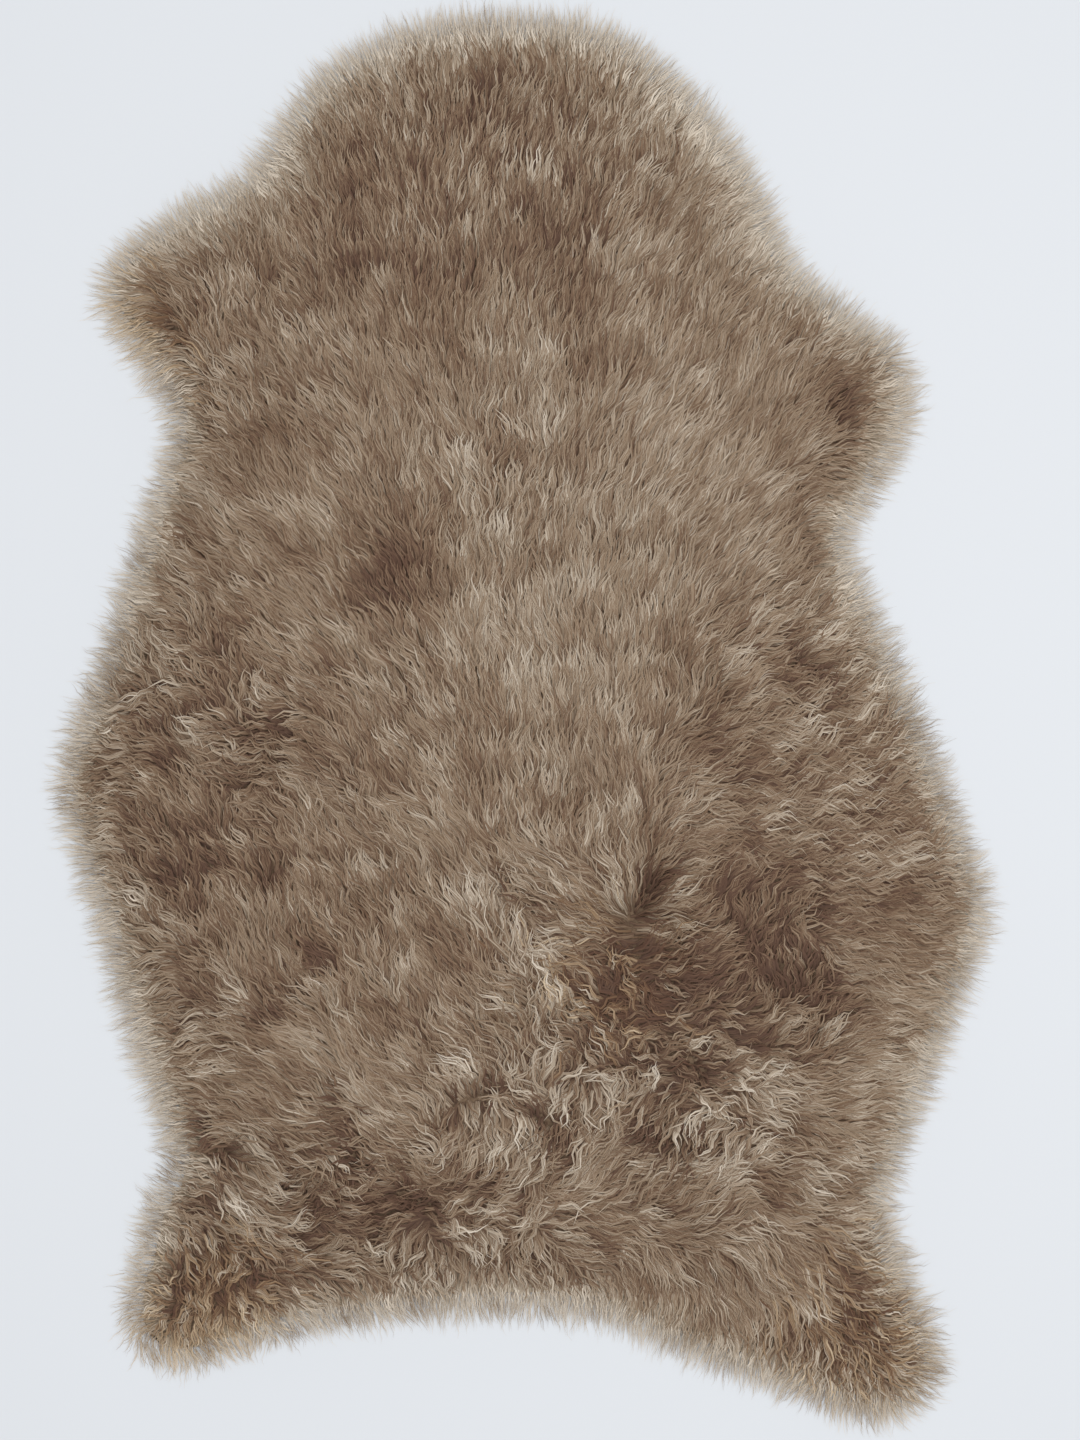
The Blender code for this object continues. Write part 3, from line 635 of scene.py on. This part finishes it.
    # lift: each cell at its own height, its middle highest, so that locks overlap like shingles
    cellLift = add("ShaderNodeMath", {"operation": "MULTIPLY_ADD", **growth["cellLift"]}, {0: byCell["Z"]})
    ownLift = add("ShaderNodeMath", {"operation": "MULTIPLY_ADD", 1: growth["ownLift"]},
                  {0: byOwn["Y"], 2: cellLift})
    gapLift = add("ShaderNodeMath", {"operation": "MULTIPLY_ADD", 1: growth["gapLift"]},
                  {0: gap, 2: ownLift})
    liftMost = add("ShaderNodeMath", {"operation": "MULTIPLY"}, {0: curlLift, 1: given["Lift"]})
    shingleLift = add("ShaderNodeMath", {"operation": "MULTIPLY_ADD", 1: growth["shingleLift"]},
                      {0: shingle, 2: gapLift})
    liftHere = add("ShaderNodeMath", {"operation": "MULTIPLY"}, {0: shingleLift, 1: liftMost})
    # the strands along a crease lie on top, so that their painted shade shows
    lift = add("ShaderNodeMath", {"operation": "MULTIPLY_ADD", 1: growth["creaseLift"]},
               {0: crease, 2: liftHere})

    # width: finer towards the rim of the pelt
    girth = add("ShaderNodeMath", {"operation": "MULTIPLY_ADD", **growth["girth"]}, {0: byOwn["X"]})
    edgeSquared = add("ShaderNodeMath", {"operation": "MULTIPLY"}, {0: edge, 1: edge})
    finer = add("ShaderNodeMath", {"operation": "MULTIPLY_ADD", **growth["edgeGirth"]}, {0: edgeSquared})
    girthHere = add("ShaderNodeMath", {"operation": "MULTIPLY"}, {0: girth, 1: finer})
    width = add("ShaderNodeMath", {"operation": "MULTIPLY"}, {0: girthHere, 1: given["Width"]})

    # roll about its own line, and which slice of the dye chart it takes
    cellRoll = add("ShaderNodeMath", {"operation": "MULTIPLY", 1: growth["cellRoll"]}, {0: byCell["X"]})
    roll = add("ShaderNodeMath", {"operation": "MULTIPLY_ADD", 1: growth["ownRoll"]},
               {0: byOwn["Z"], 2: cellRoll})
    room = add("ShaderNodeMath", {"operation": "SUBTRACT", 0: growth["laneRoom"]}, {1: given["Span"]})
    slice = add("ShaderNodeMath", {"operation": "MULTIPLY_ADD", 2: 0.5}, {0: byOwn["Y"], 1: room})
    chartPlace = add("ShaderNodeCombineXYZ", {}, {0: hueKept, 1: slice, 2: given["Span"]})

    # the strands that lie highest are the first to be sunned
    ruddyFrom = add("ShaderNodeMath", {"operation": "SUBTRACT", 0: 0.5}, {1: ruddy})
    sunned = add("ShaderNodeMath", {"operation": "GREATER_THAN"}, {0: byOwn["Y"], 1: ruddyFrom})

    behind = add("ShaderNodeVectorMath", {"operation": "SCALE"}, {0: way, "Scale": back})
    root = add("ShaderNodeVectorMath", {"operation": "SUBTRACT"}, {0: place, 1: behind})

    strandFields = (
        ("root", "FLOAT_VECTOR", root), ("way", "FLOAT_VECTOR", way), ("gather", "FLOAT_VECTOR", gather),
        ("sway", "FLOAT_VECTOR", sway), ("dye", "FLOAT_VECTOR", chartPlace), ("lift", "FLOAT", lift),
        ("width", "FLOAT", width), ("roll", "FLOAT", roll), ("sunned", "FLOAT", sunned),
    )
    kept = roots.outputs["Points"]
    for name, kind, value in strandFields:
        kept = add("GeometryNodeStoreNamedAttribute", {"data_type": kind, "domain": "POINT", "Name": name},
                   {"Geometry": kept, "Value": value})

    # one plain line of points for each root
    line = add("GeometryNodeCurvePrimitiveLine", {"End": (0.0, 0.0, 0.01)})
    fibre = add("GeometryNodeResampleCurve", {}, {"Curve": line, "Count": given["Points"]})
    planted = add("GeometryNodeInstanceOnPoints", {}, {"Points": kept, "Instance": fibre})
    grown = add("GeometryNodeRealizeInstances", {}, {0: planted})

    # each point's place along its strand
    read = {name: add("GeometryNodeInputNamedAttribute", {"data_type": kind, "Name": name})
            for name, kind, value in strandFields}
    out = add("GeometryNodeSplineParameter").outputs["Factor"]
    outSquared = add("ShaderNodeMath", {"operation": "MULTIPLY"}, {0: out, 1: out})
    away = add("ShaderNodeVectorMath", {"operation": "SCALE"}, {0: read["way"], "Scale": out})
    drawn = add("ShaderNodeVectorMath", {"operation": "SCALE"}, {0: read["gather"], "Scale": out})
    swayParts = add("ShaderNodeSeparateXYZ", {}, {0: read["sway"]}).outputs
    angle = add("ShaderNodeMath", {"operation": "MULTIPLY_ADD", 1: growth["waves"]},
                {0: out, 2: swayParts["Y"]})
    sine = add("ShaderNodeMath", {"operation": "SINE"}, {0: angle})
    waved = add("ShaderNodeMath", {"operation": "MULTIPLY"}, {0: sine, 1: swayParts["X"]})
    wavedOut = add("ShaderNodeMath", {"operation": "MULTIPLY"}, {0: waved, 1: out})
    aside = add("ShaderNodeMath", {"operation": "MULTIPLY_ADD"},
                {0: swayParts["Z"], 1: outSquared, 2: wavedOut})
    sideways = add("ShaderNodeVectorMath", {"operation": "CROSS_PRODUCT", 0: (0.0, 0.0, 1.0)},
                   {1: read["way"]})
    beside = add("ShaderNodeVectorMath", {"operation": "SCALE"}, {0: sideways, "Scale": aside})
    spot = read["root"]
    for step in (away, drawn, beside):
        spot = add("ShaderNodeVectorMath", {"operation": "ADD"}, {0: spot, 1: step})
    level = add("ShaderNodeVectorMath", {"operation": "MULTIPLY", 1: (1.0, 1.0, 0.0)}, {0: spot})
    above = add("ShaderNodeVectorMath", {"operation": "ADD", 1: (0.0, 0.0, growth["rayFrom"])}, {0: level})
    below = add("GeometryNodeRaycast",
                {"Ray Direction": (0.0, 0.0, -1.0), "Ray Length": growth["rayLength"]},
                {"Target Geometry": given["Guide"], "Source Position": above})
    ground = add("ShaderNodeSeparateXYZ", {}, {0: below.outputs["Hit Position"]}).outputs["Z"]
    toGo = add("ShaderNodeMath", {"operation": "SUBTRACT", 0: 1.0}, {1: out})
    toGoSquared = add("ShaderNodeMath", {"operation": "MULTIPLY"}, {0: toGo, 1: toGo})
    risen = add("ShaderNodeMath", {"operation": "SUBTRACT", 0: 1.0}, {1: toGoSquared})
    liftOut = add("ShaderNodeMath", {"operation": "MULTIPLY_ADD"}, {0: risen, 1: read["lift"], 2: ground})
    sunk = add("ShaderNodeMath", {"operation": "MULTIPLY"}, {0: toGoSquared, 1: given["Depth"]})
    up = add("ShaderNodeMath", {"operation": "SUBTRACT"}, {0: liftOut, 1: sunk})
    upKept = add("ShaderNodeMath", {"operation": "MAXIMUM", 1: growth["lowest"]}, {0: up})
    height = add("ShaderNodeCombineXYZ", {}, {2: upKept})
    final = add("ShaderNodeVectorMath", {"operation": "ADD"}, {0: level, 1: height})
    laid = add("GeometryNodeSetPosition", {}, {"Geometry": grown, "Position": final})

    # width, tapering to a point, and a flat ribbon swept along
    tipward = add("ShaderNodeMath", {"operation": "POWER", 1: growth["tipPower"]}, {0: out})
    taper = add("ShaderNodeMath", {"operation": "MULTIPLY_ADD", **growth["tipTaper"]}, {0: tipward})
    thin = add("ShaderNodeMath", {"operation": "MULTIPLY"}, {0: taper, 1: read["width"]})
    turned = add("GeometryNodeSetCurveNormal", {"mode": "Z_UP"}, {0: laid})
    tilted = add("GeometryNodeSetCurveTilt", {}, {0: turned, "Tilt": read["roll"]})
    marked = add("GeometryNodeStoreNamedAttribute",
                 {"data_type": "FLOAT", "domain": "POINT", "Name": "out"},
                 {"Geometry": tilted, "Value": out})
    across = add("GeometryNodeCurvePrimitiveLine", {"Start": (-0.5, 0.0, 0.0), "End": (0.5, 0.0, 0.0)})
    acrossIndex = add("GeometryNodeInputIndex")
    profile = add("GeometryNodeStoreNamedAttribute",
                  {"data_type": "FLOAT", "domain": "POINT", "Name": "side"},
                  {"Geometry": across, "Value": acrossIndex})
    ribbon = add("GeometryNodeCurveToMesh", {}, {"Curve": marked, "Profile Curve": profile, "Scale": thin})

    # its place in the dye chart: across, the lane of its hue and a slice of that lane, and up, root to tip,
    # in the chart's lower half, or in its upper half where it is sunned
    outAgain = add("GeometryNodeInputNamedAttribute", {"data_type": "FLOAT", "Name": "out"})
    side = add("GeometryNodeInputNamedAttribute", {"data_type": "FLOAT", "Name": "side"})
    dyeParts = add("ShaderNodeSeparateXYZ", {}, {0: read["dye"]}).outputs
    lanes = add("ShaderNodeMath", {"operation": "MULTIPLY", 1: woolDye["lanes"]}, {0: dyeParts["X"]})
    lane = add("ShaderNodeMath", {"operation": "FLOOR"}, {0: lanes})
    sideHalf = add("ShaderNodeMath", {"operation": "SUBTRACT", 1: 0.5}, {0: side})
    within = add("ShaderNodeMath", {"operation": "MULTIPLY_ADD"},
                 {0: sideHalf, 1: dyeParts["Z"], 2: dyeParts["Y"]})
    chartLane = add("ShaderNodeMath", {"operation": "ADD"}, {0: lane, 1: within})
    chartAcross = add("ShaderNodeMath", {"operation": "DIVIDE", 1: woolDye["lanes"]}, {0: chartLane})
    chartFrom = add("ShaderNodeMath", {"operation": "MULTIPLY", 1: 0.5}, {0: read["sunned"]})
    chartUp = add("ShaderNodeMath", {"operation": "MULTIPLY_ADD", 1: growth["chartHalf"]},
                  {0: outAgain, 2: chartFrom})
    chart = add("ShaderNodeCombineXYZ", {}, {0: chartAcross, 1: chartUp})
    mapped = add("GeometryNodeStoreNamedAttribute",
                 {"data_type": "FLOAT2", "domain": "CORNER", "Name": "OFBake"},
                 {"Geometry": ribbon, "Value": chart})
    whole = add("GeometryNodeRealizeInstances", {}, {0: mapped})
    finished = add("GeometryNodeSetMaterial", {}, {0: whole, "Material": given["Wool"]})
    add("NodeGroupOutput", {}, {0: finished})
    return tree


# Greyish brown sheep wool, washed and combed: dull fibres, darker and redder down at the roots, partly their
# own colour and partly painted shade deep in the pile, and pale at the sunned tips, with a faint silky sheen.
# Each wisp shows its own fibres as fine streaks.
woolDye = dict(
    lanes=32.0,             # the dye chart's lanes, one for each hue
    streaks=4.2,            # fibres seen across a lane
    streakSize=1.5,         # how far the fibres in one wisp differ in hue
    # the roots' ramp is darker: their own colour, and painted shade deep in the pile
    roots=[(0.0, "3F2515"), (0.25, "5B412B"), (0.5, "77624C"), (0.75, "94836F"), (1.0, "B6A58E")],
    tips=[(0.0, "563825"), (0.25, "765B41"), (0.5, "98846C"), (0.75, "B9AC9A"), (1.0, "E1D6C6")],
    sunned="FFF4E2",        # what a sunned strand's colour is multiplied by
    fade=0.9,               # the root's colour gives way to the tip's a little sooner than evenly
    roughness=0.8, refraction=1.55,
    sheen=0.1, sheenSpread=0.5, sheenTint="E6DCCB",
)


def woolMaterial():
    material, add = newMaterial("combedSheepWool")
    chart = add("ShaderNodeUVMap", {"uv_map": "OFBake"})
    parts = add("ShaderNodeSeparateXYZ", {}, {0: chart}).outputs
    lanes = add("ShaderNodeMath", {"operation": "MULTIPLY", 1: woolDye["lanes"]}, {0: parts["X"]})
    lane = add("ShaderNodeMath", {"operation": "FLOOR"}, {0: lanes})
    laneMiddle = add("ShaderNodeMath", {"operation": "ADD", 1: 0.5}, {0: lane})
    laneHue = add("ShaderNodeMath", {"operation": "DIVIDE", 1: woolDye["lanes"]}, {0: laneMiddle})
    acrossLane = add("ShaderNodeMath", {"operation": "MULTIPLY", 1: woolDye["streaks"]}, {0: lanes})
    upTwice = add("ShaderNodeMath", {"operation": "MULTIPLY", 1: 2.0}, {0: parts["Y"]})
    sunned = add("ShaderNodeMath", {"operation": "FLOOR"}, {0: upTwice})
    rootToTip = add("ShaderNodeMath", {"operation": "FRACT"}, {0: upTwice})
    streakPlace = add("ShaderNodeCombineXYZ", {}, {0: acrossLane, 1: rootToTip})
    streak = add("ShaderNodeTexNoise", {"noise_dimensions": "2D", "Scale": 1.0, "Detail": 2.0},
                 {"Vector": streakPlace})
    streakHalf = add("ShaderNodeMath", {"operation": "SUBTRACT", 1: 0.5}, {0: streak})
    hue = add("ShaderNodeMath", {"operation": "MULTIPLY_ADD", 1: woolDye["streakSize"]},
              {0: streakHalf, 2: laneHue})
    rootRamp = add("ShaderNodeValToRGB", {}, {0: hue})
    setRamp(rootRamp, woolDye["roots"])
    tipRamp = add("ShaderNodeValToRGB", {}, {0: hue})
    setRamp(tipRamp, woolDye["tips"])
    blend = add("ShaderNodeMath", {"operation": "POWER", 1: woolDye["fade"]}, {0: rootToTip})
    colour = add("ShaderNodeMix", {"data_type": "RGBA"}, {0: blend, 6: rootRamp, 7: tipRamp})
    warmed = add("ShaderNodeMix",
                 {"data_type": "RGBA", "blend_type": "MULTIPLY", 7: fromHex(woolDye["sunned"])},
                 {0: sunned, 6: colour.outputs[2]})
    shader = add("ShaderNodeBsdfPrincipled",
                 {"Roughness": woolDye["roughness"], "IOR": woolDye["refraction"],
                  "Sheen Weight": woolDye["sheen"], "Sheen Roughness": woolDye["sheenSpread"],
                  "Sheen Tint": fromHex(woolDye["sheenTint"])},
                 {"Base Color": warmed.outputs[2]})
    add("ShaderNodeOutputMaterial", {}, {"Surface": shader})
    return material


# Sizes of the strands: wisps all over, then finer hair over them, then the finest round the rim.
wisps = dict(
    points=7,               # along a strand
    density=105000,         # to the square metre
    reach=33 * mm, width=1.9 * mm,
    span=0.9,               # the share of a lane of the dye chart that one strand shows
    wisp=6 * mm, lock=7.5 * mm, tuft=18 * mm,
    depth=3 * mm,           # how far the roots lie under the guide
    lift=3.5 * mm, gather=0.8,
    wave=0.09, spread=1.0,  # size of its waves, and how much strands differ in hue
    pale=0.41,              # where its hues start: 0 the darkest, 1 the palest
    edging=-0.4,            # how its reach changes towards the rim
)
topHair = dict(
    wisps, density=38000, reach=28 * mm, width=0.6 * mm, span=0.2, lift=4.5 * mm, wave=0.08, spread=1.6,
    pale=0.5, edging=-0.3,
)
# the rim's fine hair starts a little lighter: painted light shining through it
rimHair = dict(
    wisps, points=5, density=380000, reach=19 * mm, width=0.8 * mm, span=0.2, wisp=3.2 * mm, lock=7 * mm,
    tuft=20 * mm, lift=2.5 * mm, gather=0.7, wave=0.07, pale=0.52, edging=0.0,
)

# What stays stored on a grown mesh. The other marks only steer its growth.
keptMarks = ("OFBake", "material_index")


def growWool(name, sizes, split, part, seed, where, tree, material):
    # the tree run over one part of the guide, and its result kept as a plain mesh
    modifier = guide.modifiers.new("growWool", "NODES")
    modifier.node_group = tree
    values = {"Split": split, "Part": part, "Seed": seed, "Where": where, "Wool": material}
    values.update({key.capitalize(): value for key, value in sizes.items()})
    for socket in tree.interface.items_tree:
        if socket.in_out == "INPUT" and socket.name in values:
            wanted = values[socket.name]
            modifier[socket.identifier] = float(wanted) if socket.socket_type == "NodeSocketFloat" else wanted
    graph = bpy.context.evaluated_depsgraph_get()
    grown = guide.evaluated_get(graph)
    mesh = bpy.data.meshes.new_from_object(grown, preserve_all_data_layers=True, depsgraph=graph)
    guide.modifiers.remove(modifier)
    for mark in [a.name for a in mesh.attributes if not a.is_required and a.name not in keptMarks]:
        mesh.attributes.remove(mesh.attributes[mark])
    mesh.shade_smooth()
    mesh.name = name
    print(name, len(mesh.polygons) * 2, "triangles")
    return addPiece(name, mesh)


strands = growthTree()
woolFinish = woolMaterial()
woolRows = [(row[0], wisps, "part", number, 11 + number, "thick") for number, row in enumerate(woolParts)] + [
    # name, sizes, how the guide is split, which part of it, seed, field of its density
    ("topHairFore", topHair, "half", 0, 21, "thick"),
    ("topHairHind", topHair, "half", 1, 22, "thick"),
    ("rimHair", rimHair, "whole", 0, 31, "rim"),
]
woolPieces = [growWool(*row, strands, woolFinish) for row in woolRows]


# The dense short wool under the wisps, closed all round.
under = dict(
    skip=2,                         # it takes each second point of the guide
    lower=4.5 * mm,                 # how far it lies under the guide
    beyond=12 * mm,                 # and how far it runs past the cut edge
    ragged=4 * mm, wander=14 * mm,  # how far that wanders in and out, and over what length
    underside=2.2 * mm,
    thinnest=0.8 * mm,
    paler=(-6 * mm, 10 * mm),       # from the cut edge outwards, where it is painted lighter, as light shining through the thin wool
)


def makeUnderwool(material):
    skip = under["skip"]
    past = rimward.reshape(grid)[::skip, ::skip]
    spots = places.reshape(grid + (2,))[::skip, ::skip].reshape(-1, 2)
    wander = np.array([noise.noise(Vector((x, y, 0.0)) / under["wander"]) for x, y in spots])
    past = past + under["ragged"] * wander.reshape(past.shape)
    top = height.reshape(grid)[::skip, ::skip].ravel() - under["lower"]
    slopeAlong, slopeAcross = np.gradient(past, pelt["guideStep"] * skip)
    quads = gridQuads(past.shape)
    past = past.ravel()
    quads = quads[past[quads].min(axis=1) < under["beyond"]]
    used = np.unique(quads)
    renumbered = np.full(len(spots), -1)
    renumbered[used] = np.arange(len(used))
    quads = renumbered[quads]
    outward = np.stack([slopeAcross.ravel(), slopeAlong.ravel()], axis=1)[used]
    over = np.maximum(past[used] - under["beyond"], 0.0)
    flatPlaces = spots[used] - outward * over[:, None]
    upper = np.maximum(top[used], under["underside"] + under["thinnest"])
    bm = bmesh.new()
    low = [bm.verts.new((x, y, under["underside"])) for x, y in flatPlaces]
    high = [bm.verts.new((x, y, z)) for (x, y), z in zip(flatPlaces, upper)]
    for a, b, c, d in quads:
        bm.faces.new([high[a], high[b], high[c], high[d]])
        bm.faces.new([low[d], low[c], low[b], low[a]])
    sides = np.concatenate([quads[:, [0, 1]], quads[:, [1, 2]], quads[:, [2, 3]], quads[:, [3, 0]]])
    ways = {tuple(side) for side in sides}
    for a, b in ways:
        if (b, a) not in ways:
            bm.faces.new([high[b], high[a], low[a], low[b]])
    bmesh.ops.recalc_face_normals(bm, faces=bm.faces[:])
    mesh = bpy.data.meshes.new("underwool")
    bm.to_mesh(mesh)
    bm.free()
    # how much of the rim's painted light each point takes
    paler = np.tile(smoothStep(*under["paler"], past[used]), 2)
    mesh.attributes.new("paler", "FLOAT", "POINT").data.foreach_set("value", paler)
    mesh.shade_smooth()
    mesh.materials.append(material)
    return addPiece("underwool", mesh)


# Dense short wool at the skin, matted and dull: dark, partly its own colour and partly painted shade deep
# down between the wisps, and lighter at the rim where it thins, as painted light shining through it, with a
# soft grain of crossing fibres.
def underwoolMaterial():
    material, add = newMaterial("mattedUnderwool")
    place = add("ShaderNodeTexCoord")
    grain = add("ShaderNodeTexNoise", {"Scale": 380.0, "Detail": 3.0}, {"Vector": place.outputs["Object"]})
    ramp = add("ShaderNodeValToRGB", {}, {0: grain})
    setRamp(ramp, [(0.3, "5A4635"), (0.7, "7C6650")])
    # the lighter ramp is the rim's painted light
    paleRamp = add("ShaderNodeValToRGB", {}, {0: grain})
    setRamp(paleRamp, [(0.3, "9A8870"), (0.7, "C4B59F")])
    paler = add("ShaderNodeAttribute", {"attribute_name": "paler"})
    colour = add("ShaderNodeMix", {"data_type": "RGBA"}, {0: paler.outputs["Fac"], 6: ramp, 7: paleRamp})
    bump = add("ShaderNodeBump", {"Strength": 0.6, "Distance": 0.001}, {"Height": grain})
    shader = add("ShaderNodeBsdfPrincipled", {"Roughness": 0.95},
                 {"Base Color": colour.outputs[2], "Normal": bump})
    add("ShaderNodeOutputMaterial", {}, {"Surface": shader})
    return material


# Vegetable tanned skin, brushed to a suede nap on its bare side: pale tan, cloudy, with a fine grain.
def suedeMaterial():
    material, add = newMaterial("brushedSuedeSkin")
    place = add("ShaderNodeTexCoord")
    cloud = add("ShaderNodeTexNoise", {"Scale": 18.0, "Detail": 5.0}, {"Vector": place.outputs["Object"]})
    nap = add("ShaderNodeTexNoise", {"Scale": 900.0, "Detail": 4.0}, {"Vector": place.outputs["Object"]})
    both = add("ShaderNodeMath", {"operation": "MULTIPLY_ADD", 1: 0.35}, {0: nap, 2: cloud})
    ramp = add("ShaderNodeValToRGB", {}, {0: both})
    setRamp(ramp, [(0.5, "B79A76"), (0.85, "DCC7A6")])
    bump = add("ShaderNodeBump", {"Strength": 0.5, "Distance": 0.0005}, {"Height": nap})
    shader = add("ShaderNodeBsdfPrincipled", {"Roughness": 0.9, "Sheen Weight": 0.3},
                 {"Base Color": ramp, "Normal": bump})
    add("ShaderNodeOutputMaterial", {}, {"Surface": shader})
    return material


def makeSkin(material):
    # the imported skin's own shape, merged into one clean mesh
    bm = bmesh.new()
    bm.from_mesh(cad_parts["skin"].data)
    bmesh.ops.remove_doubles(bm, verts=bm.verts, dist=sameWithin)
    mesh = bpy.data.meshes.new("suedeSkin")
    bm.to_mesh(mesh)
    bm.free()
    mesh.materials.append(material)
    return addPiece("suedeSkin", mesh)


print("underwool and skin")
underwool = makeUnderwool(underwoolMaterial())
skinPiece = makeSkin(suedeMaterial())
allPieces = woolPieces + [underwool, skinPiece]
print("in all", sum(len(p.vertices) - 2 for piece in allPieces for p in piece.data.polygons), "triangles")
bpy.data.objects.remove(guide)

for piece in woolPieces:
    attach(piece, "root")
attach(underwool, "root")
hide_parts("fleece")
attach(skinPiece, "root")
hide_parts("skin")

# What the photo shows of the floor, in metres, and where its middle lies.
photo = dict(height=1.0191, across=10.9 * mm, along=-6.5 * mm, distance=3.0)
studio = dict(
    floor="D3D6D9", floorHalf=4.0, floorTop=-0.5 * mm,
    sky="FBFCFF", skyStrength=0.72,
    lampSize=1.8, lampPower=36.0, lampAt=(0.3, 0.05, 2.4),
    sensor=36.0,            # mm, along the longer side
    nearest=0.05, farthest=20.0,
)


def makeStage():
    material, add = newMaterial("paleFloor")
    shader = add("ShaderNodeBsdfPrincipled", {"Base Color": fromHex(studio["floor"]), "Roughness": 0.9})
    add("ShaderNodeOutputMaterial", {}, {"Surface": shader})
    mesh = bpy.data.meshes.new("floor")
    corners = [(x * studio["floorHalf"], y * studio["floorHalf"], studio["floorTop"])
               for x, y in ((-1, -1), (1, -1), (1, 1), (-1, 1))]
    mesh.from_pydata(corners, [], [(0, 1, 2, 3)])
    mesh.materials.append(material)
    floor = addPiece("floor", mesh)

    world = bpy.data.worlds.new("studio")
    scene.world = world
    world.use_nodes = True
    sky = world.node_tree.nodes["Background"].inputs
    sky["Color"].default_value = fromHex(studio["sky"])
    sky["Strength"].default_value = studio["skyStrength"]
    lamp = bpy.data.lights.new("softbox", "AREA")
    lamp.shape = "RECTANGLE"
    lamp.size = lamp.size_y = studio["lampSize"]
    lamp.energy = studio["lampPower"]
    lampHolder = addPiece("softbox", lamp)
    lampHolder.location = studio["lampAt"]
    lampHolder.rotation_euler = (-lampHolder.location).to_track_quat("-Z", "Y").to_euler()

    camera = bpy.data.cameras.new("fromAbove")
    camera.sensor_width = studio["sensor"]
    camera.lens = studio["sensor"] * photo["distance"] / photo["height"]
    camera.clip_start, camera.clip_end = studio["nearest"], studio["farthest"]
    scene.camera = addPiece("fromAbove", camera)
    scene.camera.location = (photo["across"], photo["along"], photo["distance"])
    scene.view_settings.view_transform = "Standard"


makeStage()
